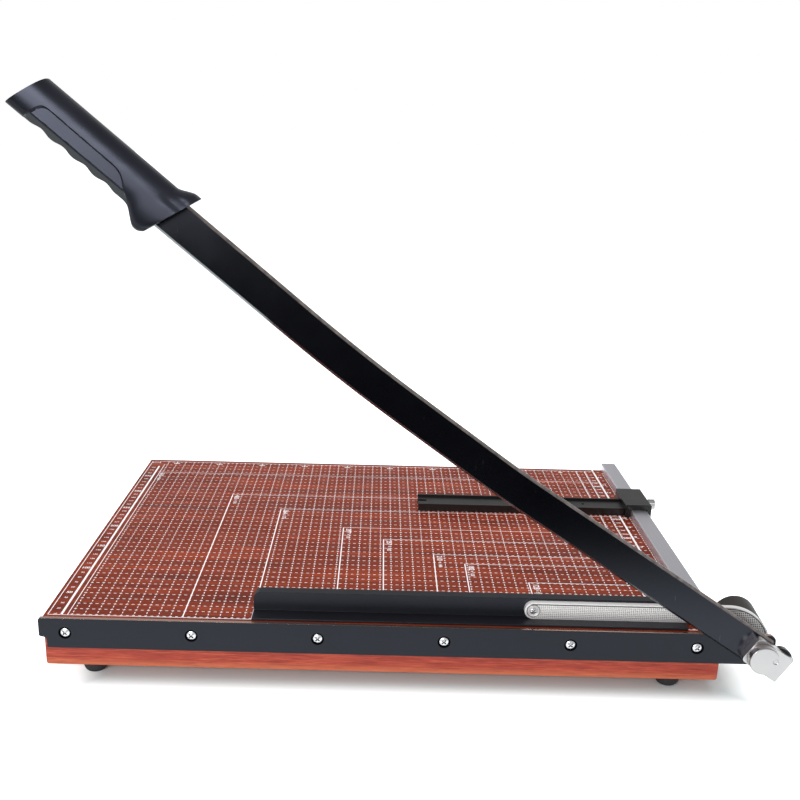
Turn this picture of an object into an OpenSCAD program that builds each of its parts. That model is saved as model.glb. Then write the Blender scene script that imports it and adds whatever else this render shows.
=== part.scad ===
// Board paper trimmer with a swinging knife arm, a sprung press bar and a sliding stop.
// The cut runs along X and the pivot is at the +X end. The table reaches away along +Y.
// Z is zero where the feet stand, and the origin lies under the middle of the whole outline at rest.

/* [Baseboard] */
// Length of the baseboard along the cut
board_w = 550; // [480:1:700]
// Depth of the baseboard away from the cut
board_d = 403; // [340:1:480]
// Thickness of the baseboard
board_t = 43; // [34:1:60]
// Rounding of the baseboard's lower and upright edges
board_edge_r = 2.5; // [1:0.5:5]

/* [Feet] */
// Diameter of a rubber foot where it meets the board
foot_d = 21; // [18:1:30]
// Diameter of the flat that a foot stands on
foot_flat_d = 14; // [11:1:16]
// Height of a foot
foot_h = 12; // [9:0.5:18]
// Distance from a foot's centre to the board's front or back face
foot_inset_y = 17; // [15:1:40]
// Distance from a foot's centre to the board's end face
foot_inset_x = 36; // [20:0.5:60]
// Diameter of the recess for the screw's head
foot_recess_d = 7.6; // [6.8:0.2:8.4]
// Depth of that recess
foot_recess_h = 6; // [4:0.5:7]
// Diameter of a foot screw's shank
foot_screw_d = 3.6; // [3:0.2:4.2]
// Diameter of a foot screw's head
foot_screw_head_d = 6.2; // [5:0.2:6.6]
// Length of a foot screw
foot_screw_l = 22; // [16:1:30]

/* [Fixed blade] */
// Height of the fixed blade, from its cutting edge down
blade_h = 26; // [25:0.2:32]
// Thickness of the fixed blade
blade_t = 3.5; // [3.4:0.1:5]
// Reach of the fixed blade past the board's free end
blade_overhang = 3; // [1:0.5:8]
// Reach of the fixed blade past the pivot
blade_tail = 14.5; // [12:0.5:18]
// Height of the end tab that reaches past the board
blade_tab_h = 16.5; // [10:0.5:20]
// Length of the step cut under the end tab
blade_step_w = 6.2; // [4:0.2:12]
// Radius in the corner of that step
blade_step_r = 3.4; // [1:0.2:4]
// Rounding of the end tab's corners
blade_corner_r = 2; // [0.5:0.5:4]
// Rounding of the corners at the pivot end
blade_end_r = 5; // [2:0.5:10]
// Number of screws along the fixed blade
blade_screws_n = 6; // [4:1:8]
// Distance from the board's free end to the first blade screw
blade_screw_first = 18.2; // [14:0.2:40]
// Distance from the board's pivot end to the last blade screw
blade_screw_last = 20.5; // [16:0.5:40]
// Diameter of a blade screw's shank
blade_screw_d = 4; // [3.6:0.1:4.4]
// Diameter of a blade screw's head
blade_screw_head_d = 7.6; // [6.8:0.2:8.4]
// Diameter of the countersink in the blade's face
blade_sink_d = 9.2; // [8.6:0.2:10]
// Length of a blade screw
blade_screw_l = 26; // [18:1:34]

/* [Ruler] */
// Width of the ruler rail
ruler_w = 16.2; // [14:0.2:24]
// Height of the ruler rail
ruler_h = 8.5; // [7:0.1:12]
// Distance from the rail's outer side to the board's pivot end
ruler_inset = 1.2; // [0:0.1:2]
// Distance from the board's front face to the rail's near end
ruler_front = 40; // [34:1:80]
// Bevel along the rail's upper edges
ruler_bevel = 1.1; // [0.4:0.1:2]
// Distance from the rail's far end to its far screw
ruler_screw_far = 97; // [20:1:120]
// Distance from the rail's near end to its near screw
ruler_screw_near = 26; // [12:1:60]
// Diameter of a rail screw's shank
ruler_screw_d = 3.6; // [3:0.2:4.2]
// Diameter of a rail screw's head
ruler_screw_head_d = 7; // [6:0.2:8]
// Length of a rail screw
ruler_screw_l = 26; // [18:1:36]

/* [Stop] */
// Length of the stop block along the rail
stop_l = 50; // [40:1:70]
// Distance from the board's front face to the middle of the stop block
stop_y = 275.5; // [230:0.5:300]
// Thickness of the stop block over the rail
stop_roof_t = 5.2; // [3:0.2:8]
// Thickness of the stop block's cheek on the table side
stop_inner_t = 5.4; // [4:0.2:8]
// Thickness of the stop block's cheek on the outer side
stop_outer_t = 4.5; // [2.4:0.1:6]
// Bevel along the stop block's upper edges
stop_bevel = 0.8; // [0.2:0.1:1.6]
// Free play between the stop block and the rail
stop_play = 0.3; // [0.1:0.05:0.5]
// Height of the thumb screw above the table
thumb_z = 6; // [4.6:0.2:6.4]
// Diameter of the thumb screw's head
thumb_d = 11; // [8:0.5:12]
// Thickness of the thumb screw's head
thumb_t = 7; // [3:0.5:8]
// Diameter of the thumb screw's shank
thumb_shank_d = 4; // [3:0.5:5]
// Length of the thumb screw's neck between its head and the stop block
thumb_neck = 2.2; // [0.4:0.1:4]

/* [Guide bar] */
// Length of the guide bar
guide_l = 215.5; // [120:0.5:260]
// Width of the guide bar
guide_w = 24.4; // [18:0.2:32]
// Height of the guide bar's flat top above the table
guide_h = 8; // [6:0.2:10]
// Wall thickness of the guide bar
guide_wall = 2; // [1.6:0.1:3]
// Height of the rib along the guide bar's back edge
guide_rib_h = 2; // [1:0.2:4]
// Distance from the stop block's near end to the guide bar's near face
guide_setback = 5; // [2:0.5:20]
// Width of the open slot in the guide bar's free end
guide_slot_w = 5; // [3:0.2:7]
// Depth of that slot
guide_slot_l = 9.5; // [6:0.5:16]
// Distance from the guide bar's near face to the middle of its slot and hole
guide_slot_y = 11; // [8:0.5:14]
// Diameter of the small hole in the guide bar
guide_hole_d = 3.2; // [2:0.2:4]
// Distance from the small hole to the stop block
guide_hole_x = 41.5; // [20:0.5:60]
// Length of the guide bar's closed end at the stop block
guide_plug_l = 15; // [12:1:24]
// Diameter of a guide screw's shank
guide_screw_d = 3; // [2.4:0.2:3.4]
// Length of a guide screw
guide_screw_l = 14; // [10:1:16]

/* [Press bar] */
// Length of the press bar
press_l = 353.5; // [300:1:380]
// Distance from the pivot to the press bar's near end
press_from_pivot = 55; // [52:0.5:70]
// Height of the press bar's web
press_h = 17.7; // [17:0.1:24]
// Sheet thickness of the press bar
press_t = 1.6; // [1.2:0.1:2]
// Reach of the foot flange in front of the web
press_foot_w = 15.3; // [13:0.1:16]
// Reach of the top flange behind the web
press_top_w = 8.7; // [6:0.1:12]
// Rounding of the web's upper corners
press_corner_r = 6; // [3:0.5:9]
// Distance from the board's front face to the web
press_web_y = 17; // [16.6:0.1:18]

/* [Press lever] */
// Width of the lever's straight part
lever_w = 14.4; // [14:0.1:16]
// Gap between the press bar's foot flange and the lever's lower edge
lever_lift = 0.1; // [0.05:0.05:0.5]
// Distance from the pivot to the lever's screw
lever_reach = 179.4; // [140:0.2:220]
// Depth of the lever's tray
lever_depth = 4.6; // [3:0.1:4.8]
// Sheet thickness of the lever
lever_t = 1.2; // [0.8:0.1:1.6]
// Radius of the lever's eye round the pivot
lever_eye_r = 15; // [14:0.1:16]
// Radius of the lever's outer edge where it curls down to the eye
lever_curl_r = 35; // [33:0.5:40]
// Diameter of the dish under the lever's screw
lever_dish_d = 10; // [9:0.2:11]
// Depth of that dish
lever_dish_h = 1.6; // [0.8:0.1:2]
// Diameter of the lever screw's shank
lever_screw_d = 4; // [3:0.2:4.6]
// Diameter of the lever screw's head
lever_screw_head_d = 6.6; // [5.4:0.2:7]
// Width of the lever nut across its corners
lever_nut_d = 8.1; // [7:0.1:9]
// Thickness of the lever nut
lever_nut_t = 3.2; // [2.4:0.2:4]

/* [Pivot] */
// Distance from the board's pivot end to the pivot
pivot_out = 27.3; // [27:0.1:34]
// Depth of the pivot under the table's surface
pivot_drop = 12.8; // [12.4:0.1:13.4]
// Diameter of the pivot bolt
pivot_d = 9; // [7:0.5:10]
// Diameter of the pivot bolt's head
pivot_head_d = 16; // [13:0.5:17]
// Thickness of the pivot bolt's head
pivot_head_t = 5; // [4:0.5:5.5]
// Thickness of the spring washer under the bolt's head
spring_washer_t = 1.4; // [1:0.1:2]
// Outer diameter of the spacer between the fixed blade and the lever
spacer_d = 18; // [14:0.5:18]
// Outer diameter of the spring cover at its closed end
cover_d = 37.6; // [34:0.5:44]
// Outer diameter of the spring cover at its open end
cover_mouth_d = 32.6; // [31:0.2:34]
// Length of the spring cover
cover_l = 42; // [36:0.5:56]
// Wall thickness of the spring cover
cover_t = 1.5; // [1:0.1:2]
// Rounding of the spring cover's closed end
cover_round = 2.5; // [1:0.5:4]
// Outer diameter of the arbor inside the spring
arbor_d = 15; // [12:0.5:16]
// Mean diameter of the torsion spring
spring_d = 22; // [20:0.5:23]
// Wire diameter of the torsion spring
spring_wire_d = 2.4; // [1.6:0.2:2.8]
// Number of turns of the torsion spring
spring_turns = 9; // [5:1:9]
// Width of the pivot nut across its corners
pivot_nut_d = 16; // [14:0.5:18]
// Thickness of the pivot nut
pivot_nut_t = 6; // [4:0.5:8]
// Thickness of the washer under the pivot nut
rear_washer_t = 1.5; // [1:0.1:2]
// Diameter of that washer
rear_washer_d = 19; // [17:0.5:24]

/* [Knife arm] */
// Width of the knife arm
arm_w = 27.5; // [24:0.5:27.5]
// Thickness of the knife arm
arm_t = 5; // [4:0.1:6]
// Height of the knife arm's middle line above the pivot
arm_rise = 0.6; // [0:0.1:1.2]
// Length of the arm's straight root
arm_root_l = 225; // [190:5:250]
// Length of the first bend
arm_bend1_l = 40; // [20:5:80]
// Angle of the first bend
arm_bend1_a = 2.5; // [0:0.1:5]
// Length of the straight between the bends
arm_mid_l = 80; // [40:5:120]
// Length of the second bend
arm_bend2_l = 110; // [60:5:160]
// Angle of the second bend
arm_bend2_a = 3.8; // [0:0.1:6]
// Angle of the raised arm's root above the table
arm_rest_angle = 33.3; // [20:0.1:60]
// Width of the bevel along the arm's upper edge
arm_bevel_w = 1.6; // [0.8:0.1:3]
// Depth of that bevel
arm_bevel_d = 3; // [1:0.1:3.4]
// Width of the ground bevel along the cutting edge
edge_bevel_w = 2.4; // [1:0.1:5]
// Thickness left at the cutting edge
edge_land = 0.8; // [0.4:0.1:1.6]
// Reach of the arm's tail past the pivot
tail_l = 27; // [24:0.5:30]
// Height of the arm's tail
tail_w = 23; // [20:0.5:26]
// Radius of the hump on the tail's upper edge
tail_hump_r = 9.5; // [6:0.5:12]
// Height of that hump above the pivot
tail_hump_h = 14.9; // [13.5:0.1:17]
// Running gap between the fixed blade and the knife arm
arm_gap = 0.3; // [0.1:0.05:0.5]

/* [Pivot block] */
// Length of the block from the pivot towards the handle
block_fore = 12.2; // [11:0.2:14]
// Length of the block from the pivot towards the arm's tail
block_aft = 22.8; // [22:0.2:26]
// Height of the block
block_w = 23.4; // [22:0.2:25]
// Thickness of the block
block_t = 7; // [5:0.2:9]
// Rounding of the block's two corners towards the handle
block_r = 3.5; // [1:0.5:5]
// Reach of the round boss in front of the block
boss_h = 7; // [5:0.5:11]
// Rounding of the boss's front edge
boss_round = 0.8; // [0.3:0.1:1.5]
// Diameter of the shallow dimple in the boss
dimple_d = 5; // [3:0.5:6]
// Depth of that dimple
dimple_h = 0.5; // [0.3:0.1:0.8]
// Distance from the pivot to the block's screws
block_screw_x = 17.4; // [16.6:0.2:19]
// Distance between the block's screws
block_screw_gap = 12; // [8:0.5:13]
// Diameter of a block screw's shank
block_screw_d = 3; // [2.4:0.2:3.2]
// Diameter of a block screw's head
block_screw_head_d = 5.6; // [4.6:0.2:6]

/* [Handle] */
// Distance from the pivot to the handle's guard, along the arm
handle_s = 568.5; // [500:0.5:715]
// Length of the handle
handle_l = 125.6; // [100:1:140]
// Thickness of the handle
handle_t = 25; // [20:0.5:30]
// Height of the grip above the arm's middle line
grip_up = 19.8; // [17:0.1:22]
// Depth of the grip below the arm's middle line
grip_down = 11; // [11:0.1:15]
// Height of the guard above the arm's middle line
guard_up = 25; // [21:0.2:30]
// Depth of the guard below the arm's middle line
guard_down = 21.4; // [18:0.2:30]
// Length of the guard at its upper edge
guard_up_l = 12; // [8:0.5:20]
// Length of the guard at its lower edge
guard_down_l = 23; // [16:0.5:32]
// Lean of the handle's two ends
handle_lean = 21.2; // [0:0.2:30]
// Depth of the finger grooves
groove_depth = 1.8; // [0:0.1:3]
// Distance from one finger groove to the next
groove_pitch = 18.3; // [15:0.1:22]
// Distance from the guard to the first finger groove's middle
groove_first = 42.8; // [36:0.2:50]
// Number of finger grooves
grooves_n = 4; // [2:1:5]
// Depth of the recess in the grip's front side
panel_depth = 1.1; // [0.6:0.1:1.6]
// Height of the recess's upper edge above the arm's middle line
panel_up = 5.6; // [4:0.2:8]
// Depth below the arm's middle line at which the recess turns under the grip
panel_down = 4; // [3:0.2:6]
// Slope at which the recess turns under the grip
panel_under = 50; // [40:1:55]
// Distance from the guard to the recess
panel_from = 36.4; // [35:0.2:48]
// Distance from the recess to the handle's far end
panel_left = 15.4; // [12:0.2:20]
// Lean of the recess's end at the guard
panel_lean = 45; // [35:1:48]
// Radius of the recess's upper corners
panel_r = 12; // [4:0.5:14]
// Bulge of the handle's far end
tip_bulge = 1.2; // [0.5:0.1:4]
// Length of the arm's tang inside the handle
tang_l = 92; // [60:1:98]
// Width of the tang
tang_w = 14; // [10:0.5:14]
// Thickness of the tang
tang_t = 3; // [2:0.1:3.4]

/* [Hidden] */

// Sides of round surfaces
$fn = 64;
// Overrun of every cut past the face that it opens
cut = 1;
// Radial clearance of a shaft that turns in its bore
run_gap = 0.05;
// Radial clearance of a screw in its hole
hole_gap = 0.15;
// Gap between flat faces that slide or seat close to each other
seat_gap = 0.3;
// End play of the lever between its neighbours on the bolt
end_play = 0.1;
// Steps in each rounded corner of an outline
corner_steps = 6;

// Heights
table_z = foot_h + board_t;
pivot_z = table_z - pivot_drop;
blade_bottom = table_z - blade_h;

// Places along X: the whole outline runs from the blade's tab to the block's lowest corner
block_reach = block_aft * cos(arm_rest_angle) + (block_w / 2 - arm_rise) * sin(arm_rest_angle);
tail_r = tail_w / 8;
tail_reach = tail_r + (tail_l - tail_r) * cos(arm_rest_angle)
    + (tail_w / 2 - tail_r - arm_rise) * sin(arm_rest_angle);
overall_w = blade_overhang + board_w + pivot_out + max(block_reach, tail_reach);
blade_left = -overall_w / 2;
board_left = blade_left + blade_overhang;
board_right = board_left + board_w;
pivot_x = board_right + pivot_out;
blade_right = pivot_x + blade_tail;

// Places along Y: the outline runs from the handle or the boss to the board's back face
arm_stand = blade_t + arm_gap;
front_reach = arm_stand + max(handle_t, arm_t + block_t + boss_h);
board_front = (front_reach - board_d) / 2;
board_back = board_front + board_d;
blade_front = board_front - blade_t;
arm_back = board_front - arm_stand;
arm_front = arm_back - arm_t;

// Pivot stack behind the fixed blade
press_web = board_front + press_web_y;
lever_back = press_web - seat_gap;
lever_front = lever_back - lever_depth;
arbor_front = lever_front + lever_t + end_play;
cover_front = lever_back + seat_gap;
cover_back = cover_front + cover_l;
bolt_end = cover_back + rear_washer_t + pivot_nut_t + pivot_d / 4;

// Ruler rail and stop block
rail_right = board_right - ruler_inset;
rail_left = rail_right - ruler_w;
rail_front = board_front + ruler_front;
rail_l = board_back - rail_front;
stop_front = board_front + stop_y - stop_l / 2;
stop_left = rail_left - stop_play - stop_inner_t;
stop_right = rail_right + stop_play + stop_outer_t;
stop_roof_z = table_z + ruler_h + stop_play + stop_roof_t;
guide_front = stop_front + guide_setback;
guide_left = stop_left - guide_l;
guide_screw_z = table_z + guide_h / 2;
guide_screw_inset = guide_w / 4;
stop_middle = stop_front + stop_l / 2;
// Heads that the stop block passes over or beside are sunk below the face
ruler_mouth_d = ruler_screw_head_d + 2 * hole_gap;
ruler_sink = dome_rise(ruler_screw_head_d);
guide_head_d = guide_screw_d * 1.7;
guide_mouth_d = guide_head_d + 2 * hole_gap;
guide_sink = dome_rise(guide_head_d);

// Press bar and lever
press_right = pivot_x - press_from_pivot;
press_left = press_right - press_l;
press_z = table_z + seat_gap;
press_back = press_web + press_top_w;
lever_low = press_z + press_t + lever_lift;
lever_screw_x = pivot_x - lever_reach;
lever_screw_z = lever_low + lever_w / 2;

// Knife arm: each part of its middle line as a row of length and turn, with a straight run after the last
arm_parts = [[arm_root_l, 0], [arm_bend1_l, arm_bend1_a], [arm_mid_l, 0], [arm_bend2_l, arm_bend2_a]];
// The arm's full width starts behind the pivot and ends inside the guard
arm_start_s = -pivot_d / 2;
arm_end_s = handle_s + guard_down_l * 5 / 6;
// The tang starts inside the guard and runs at the middle of the grip
tang_from = -tang_l - guard_down_l / 2;
tang_h = (grip_up - grip_down) / 2;
// The block screws' heads are sunk below the arm's back
block_mouth_d = block_screw_head_d + 2 * hole_gap;
block_sink = dome_rise(block_screw_head_d);
// Steps along the arm
knife_stations = 40;

// Handle sections
handle_stations = 46;
section_sides = 24;
// Squareness of a section, where 2 is an ellipse
section_power = 2.7;
handle_start = guard_down * tan(handle_lean);
panel_to = handle_l - panel_left;
// Shares of the bulge and of the section's size at each ring of the rounded far end
cap_bulge_share = [0.45, 0.8, 1];
cap_size_share = [0.95, 0.8, 0.45];

// Spring path
spring_steps_per_turn = 8;
spring_sides = 6;
spring_start = lever_front + lever_t + spring_wire_d;
spring_bend_r = spring_wire_d * 1.5;
spring_bend_steps = 4;
spring_room = cover_back - cover_t - spring_wire_d - spring_start - spring_bend_r;
spring_pitch = spring_room / spring_turns;

// Points of an arc about c
function arc(c, r, from, to, steps = corner_steps) = [
    for (i = [0:steps]) let (a = from + (to - from) * i / steps) [c[0] + r * cos(a), c[1] + r * sin(a)]
];

// Rounded rectangle from its lower corner, with a radius for each corner: lower left, then anticlockwise
function round_corners(x, y, w, h, r) = concat(
    arc([x + r[0], y + r[0]], r[0], 180, 270),
    arc([x + w - r[1], y + r[1]], r[1], 270, 360),
    arc([x + w - r[2], y + h - r[2]], r[2], 0, 90),
    arc([x + r[3], y + h - r[3]], r[3], 90, 180)
);

// An outline in X and Z, extruded along +Y from y
module xz(y, depth) {
    translate([0, y + depth, 0])
        rotate([90, 0, 0])
            linear_extrude(depth)
                children();
}

// A shape made about +Z, laid along +Y at x, z, starting at y
module along_y(x, y, z) {
    translate([x, y, z])
        rotate([-90, 0, 0])
            children();
}

// A round bar or bore along +Y
module rod_y(x, z, from, to, d) {
    along_y(x, from, z)
        cylinder(d = d, h = to - from);
}

// A ring about +Z
module ring(outer_d, inner_d, h) {
    difference() {
        cylinder(d = outer_d, h = h);
        translate([0, 0, -cut])
            cylinder(d = inner_d, h = h + 2 * cut);
    }
}

// Cross recess cut into a screw's head whose top is at z
module cross_recess(head_d, z) {
    depth = head_d / 4;
    slot = head_d / 7;
    span = head_d * 0.6;
    for (turn = [45, 135])
        rotate([0, 0, turn])
            translate([-span / 2, -slot / 2, z - depth])
                cube([span, slot, depth + cut]);
}

// Rise of a countersunk head's dome above its rim
function dome_rise(head_d) = head_d / 7;

// Countersunk screw along -Z with a low domed head: the cone's rim is at zero
module sunk_screw(shank_d, head_d, length) {
    dome_h = dome_rise(head_d);
    cone_h = (head_d - shank_d) / 2;
    dome_r = (pow(head_d / 2, 2) + pow(dome_h, 2)) / (2 * dome_h);
    dome_a = asin(head_d / 2 / dome_r);
    difference() {
        rotate_extrude()
            polygon(concat(
                [[0, -length], [shank_d / 2, shank_d - length], [shank_d / 2, -cone_h]],
                arc([0, dome_h - dome_r], dome_r, 90 - dome_a, 90)
            ));
        cross_recess(head_d, dome_h);
    }
}

// Screw along -Z with a rounded head standing on zero
module pan_screw(shank_d, head_d, length) {
    head_h = head_d * 0.38;
    difference() {
        rotate_extrude()
            polygon(concat(
                [[0, -length], [shank_d / 2, -length], [shank_d / 2, 0], [head_d / 2, 0]],
                arc([head_d / 2 - head_h * 0.7, head_h * 0.3], head_h * 0.7, 0, 90),
                [[0, head_h]]
            ));
        cross_recess(head_d, head_h);
    }
}

// Hole along -Z that takes a countersunk screw: open at zero, with its cone starting at the sink depth
module sunk_hole(shank_d, mouth_d, length, sink = 0) {
    hole_d = shank_d + 2 * hole_gap;
    cone_h = (mouth_d - hole_d) / 2;
    translate([0, 0, -length])
        cylinder(d = hole_d, h = length + cut);
    translate([0, 0, -sink - cone_h])
        cylinder(d1 = hole_d, d2 = mouth_d, h = cone_h);
    translate([0, 0, -sink])
        cylinder(d = mouth_d, h = sink + cut);
}

// Depth at which a head's rim seats in a wider cone
function seat_depth(mouth_d, head_d) = (mouth_d - head_d) / 2 - run_gap;

// Places of the four feet
module at_feet() {
    for (x = [board_left + foot_inset_x, board_right - foot_inset_x])
        for (y = [board_front + foot_inset_y, board_back - foot_inset_y])
            translate([x, y, 0])
                children();
}

// Places of the blade screws, on the fixed blade's front face and looking out of it
module at_blade_screws() {
    span = board_w - blade_screw_first - blade_screw_last;
    for (i = [0:blade_screws_n - 1])
        translate([board_left + blade_screw_first + span * i / (blade_screws_n - 1), blade_front, pivot_z])
            rotate([90, 0, 0])
                children();
}

// Places of the two rail screws, on the rail's top
module at_ruler_screws() {
    for (y = [rail_front + ruler_screw_near, board_back - ruler_screw_far])
        translate([rail_left + ruler_w / 2, y, table_z + ruler_h])
            children();
}

// Places of the two guide screws, on the inner face of the stop block's cheek and looking out of it
module at_guide_screws() {
    for (side = [-1, 1])
        translate([rail_left - stop_play, guide_front + guide_w / 2 + side * guide_screw_inset, guide_screw_z])
            rotate([0, 90, 0])
                children();
}

module baseboard() {
    color("#a5492b")
        difference() {
            intersection() {
                xz(board_front, board_d)
                    polygon(concat(
                        arc([board_left + board_edge_r, foot_h + board_edge_r], board_edge_r, 180, 270),
                        arc([board_right - board_edge_r, foot_h + board_edge_r], board_edge_r, 270, 360),
                        [[board_right, table_z], [board_left, table_z]]
                    ));
                translate([0, 0, foot_h - cut])
                    linear_extrude(board_t + 2 * cut)
                        polygon(round_corners(board_left, board_front, board_w, board_d,
                            [board_edge_r / 2, board_edge_r / 2, board_edge_r, board_edge_r]));
            }
            at_blade_screws()
                translate([0, 0, -blade_screw_l - blade_screw_d])
                    cylinder(d = blade_screw_d + 2 * hole_gap, h = blade_screw_l + blade_screw_d);
            at_ruler_screws()
                translate([0, 0, -ruler_screw_l - ruler_screw_d])
                    cylinder(d = ruler_screw_d + 2 * hole_gap, h = ruler_screw_l + ruler_screw_d);
            at_feet()
                cylinder(d = foot_screw_d + 2 * hole_gap, h = foot_recess_h + foot_screw_l + foot_screw_d);
        }
}

// Domed rubber feet, each with a recess that hides its screw
module feet() {
    side_h = foot_h / 5;
    color("#1c1c1e")
        at_feet()
            difference() {
                rotate_extrude()
                    polygon(concat(
                        [[0, 0], [foot_flat_d / 2, 0]],
                        [for (i = [1:corner_steps]) let (a = 90 * i / corner_steps) [
                            foot_flat_d / 2 + (foot_d - foot_flat_d) / 2 * sin(a),
                            (foot_h - side_h) * (1 - cos(a))
                        ]],
                        [[foot_d / 2, foot_h], [0, foot_h]]
                    ));
                translate([0, 0, -cut])
                    cylinder(d = foot_recess_d, h = foot_recess_h + cut);
                cylinder(d = foot_screw_d + 2 * hole_gap, h = foot_h + cut);
            }
}

module foot_screws() {
    color("#b9bcc0")
        at_feet()
            translate([0, 0, foot_recess_h])
                rotate([180, 0, 0])
                    pan_screw(foot_screw_d, foot_screw_head_d, foot_screw_l);
}

// Steel bar with the lower cutting edge, carrying the pivot past the board's end
module fixed_blade() {
    step_x = blade_left + blade_step_w;
    tab_z = table_z - blade_tab_h;
    color("#2c2d33")
        difference() {
            xz(blade_front, blade_t)
                polygon(concat(
                    arc([blade_left + blade_corner_r, table_z - blade_corner_r], blade_corner_r, 180, 90),
                    arc([blade_right - blade_end_r, table_z - blade_end_r], blade_end_r, 90, 0),
                    arc([blade_right - blade_end_r, blade_bottom + blade_end_r], blade_end_r, 0, -90),
                    [[step_x, blade_bottom]],
                    arc([step_x - blade_step_r, tab_z - blade_step_r], blade_step_r, 0, 90),
                    arc([blade_left + blade_corner_r, tab_z + blade_corner_r], blade_corner_r, 270, 180)
                ));
            at_blade_screws()
                sunk_hole(blade_screw_d, blade_sink_d, blade_t + cut);
            rod_y(pivot_x, pivot_z, blade_front - cut, board_front + cut, pivot_d + 2 * hole_gap);
        }
}

// The heads sit a little deep in their wider countersinks
module blade_screws() {
    color("#d7d9dc")
        at_blade_screws()
            translate([0, 0, -seat_depth(blade_sink_d, blade_screw_head_d)])
                sunk_screw(blade_screw_d, blade_screw_head_d, blade_screw_l);
}

// Square aluminium rail along the board's pivot end, bevelled along its top
module ruler_rail() {
    top_z = table_z + ruler_h;
    color("#a9abb1")
        difference() {
            xz(rail_front, rail_l)
                polygon([
                    [rail_left, table_z],
                    [rail_right, table_z],
                    [rail_right, top_z - ruler_bevel],
                    [rail_right - ruler_bevel, top_z],
                    [rail_left + ruler_bevel, top_z],
                    [rail_left, top_z - ruler_bevel]
                ]);
            at_ruler_screws()
                sunk_hole(ruler_screw_d, ruler_mouth_d, ruler_h + cut, ruler_sink);
        }
}

module ruler_screws() {
    color("#b9bcc0")
        at_ruler_screws()
            translate([0, 0, -ruler_sink - seat_depth(ruler_mouth_d, ruler_screw_head_d)])
                sunk_screw(ruler_screw_d, ruler_screw_head_d, ruler_screw_l);
}

// Bolt with its head in front of the arm, through blade, spacer, lever, arbor and cover
module pivot_bolt() {
    color("#8d9096") {
        rod_y(pivot_x, pivot_z, arm_front - spring_washer_t, bolt_end, pivot_d);
        along_y(pivot_x, arm_front - spring_washer_t - pivot_head_t, pivot_z)
            cylinder(d1 = pivot_head_d - pivot_head_t / 2, d2 = pivot_head_d, h = pivot_head_t);
    }
}

module pivot_spacer() {
    color("#8d9096")
        along_y(pivot_x, board_front, pivot_z)
            ring(spacer_d, pivot_d + 2 * hole_gap, lever_front - end_play - board_front);
}

// Tube on the bolt that the torsion spring is wound round
module spring_arbor() {
    color("#8d9096")
        along_y(pivot_x, arbor_front, pivot_z)
            ring(arbor_d, pivot_d + 2 * hole_gap, cover_back - cover_t - arbor_front);
}

// Black tapered sleeve over the spring, closed at the wide end where the nut draws it tight
module spring_cover() {
    outer_r = cover_d / 2;
    mouth_r = cover_mouth_d / 2;
    floor_z = cover_l - cover_t;
    bore_r = pivot_d / 2 + hole_gap;
    color("#242428")
        along_y(pivot_x, cover_front, pivot_z)
            rotate_extrude()
                polygon(concat(
                    [[mouth_r - cover_t, 0], [mouth_r, 0]],
                    arc([outer_r - cover_round, cover_l - cover_round], cover_round, 0, 90),
                    [[bore_r, cover_l], [bore_r, floor_z], [outer_r - cover_t - cover_round / 2, floor_z],
                     [outer_r - cover_t, floor_z - cover_round / 2]]
                ));
}

module rear_washer() {
    color("#b9bcc0")
        along_y(pivot_x, cover_back, pivot_z)
            ring(rear_washer_d, pivot_d + 2 * hole_gap, rear_washer_t);
}

// Hexagon nut with its corners eased
module hex_nut(across, bore, h) {
    difference() {
        intersection() {
            cylinder(d = across, h = h, $fn = 6);
            cylinder(d1 = across - h / 4, d2 = across + h * 2, h = h);
            cylinder(d1 = across + h * 2, d2 = across - h / 4, h = h);
        }
        translate([0, 0, -cut])
            cylinder(d = bore, h = h + 2 * cut);
    }
}

module pivot_nut() {
    color("#b9bcc0")
        along_y(pivot_x, cover_back + rear_washer_t, pivot_z)
            hex_nut(pivot_nut_d, pivot_d + 2 * run_gap, pivot_nut_t);
}

// Frame of the swinging arm: the pivot at the origin, the handle towards -X, the arm's back at zero
module arm_frame() {
    translate([pivot_x, arm_back, pivot_z])
        rotate([0, arm_rest_angle, 0])
            children();
}

// Outline of the tail round the pivot, in the arm's frame
module tail_outline() {
    polygon(round_corners(-arm_w / 2, arm_rise - tail_w / 2, tail_l + arm_w / 2, tail_w,
        [tail_r, tail_r, tail_r, tail_r]));
    translate([tail_l - tail_hump_r, tail_hump_h - tail_hump_r])
        circle(r = tail_hump_r);
}

// Section of the knife as rows of height above its middle line and depth in front of its back
knife_section = [
    [arm_w / 2, 0],
    [-arm_w / 2, 0],
    [-arm_w / 2, edge_land],
    [edge_bevel_w - arm_w / 2, arm_t],
    [arm_w / 2 - arm_bevel_w, arm_t],
    [arm_w / 2, arm_t - arm_bevel_d]
];

// Point and heading after going l from p, while the heading a turns evenly by turn
function run_on(p, a, l, turn) = turn == 0
    ? [p + l * [cos(a), sin(a)], a]
    : let (r = l * 180 / (PI * turn)) [p + r * [sin(a + turn) - sin(a), cos(a) - cos(a + turn)], a + turn];

// Point of the arm's middle line, and its heading, at the distance s along it from the pivot
function arm_at(s, i = 0, p = [0, arm_rise], a = 0) = i == len(arm_parts)
    ? run_on(p, a, s, 0)
    : let (part = arm_parts[i]) s <= part[0]
        ? run_on(p, a, s, part[1] * s / part[0])
        : let (next = run_on(p, a, part[0], part[1])) arm_at(s - part[0], i + 1, next[0], next[1]);

// The section placed across the middle line at the distance s
function knife_ring(s) = let (at = arm_at(s)) [
    for (p = knife_section) [-(at[0][0] - p[0] * sin(at[1])), -p[1], at[0][1] + p[0] * cos(at[1])]
];

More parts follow.
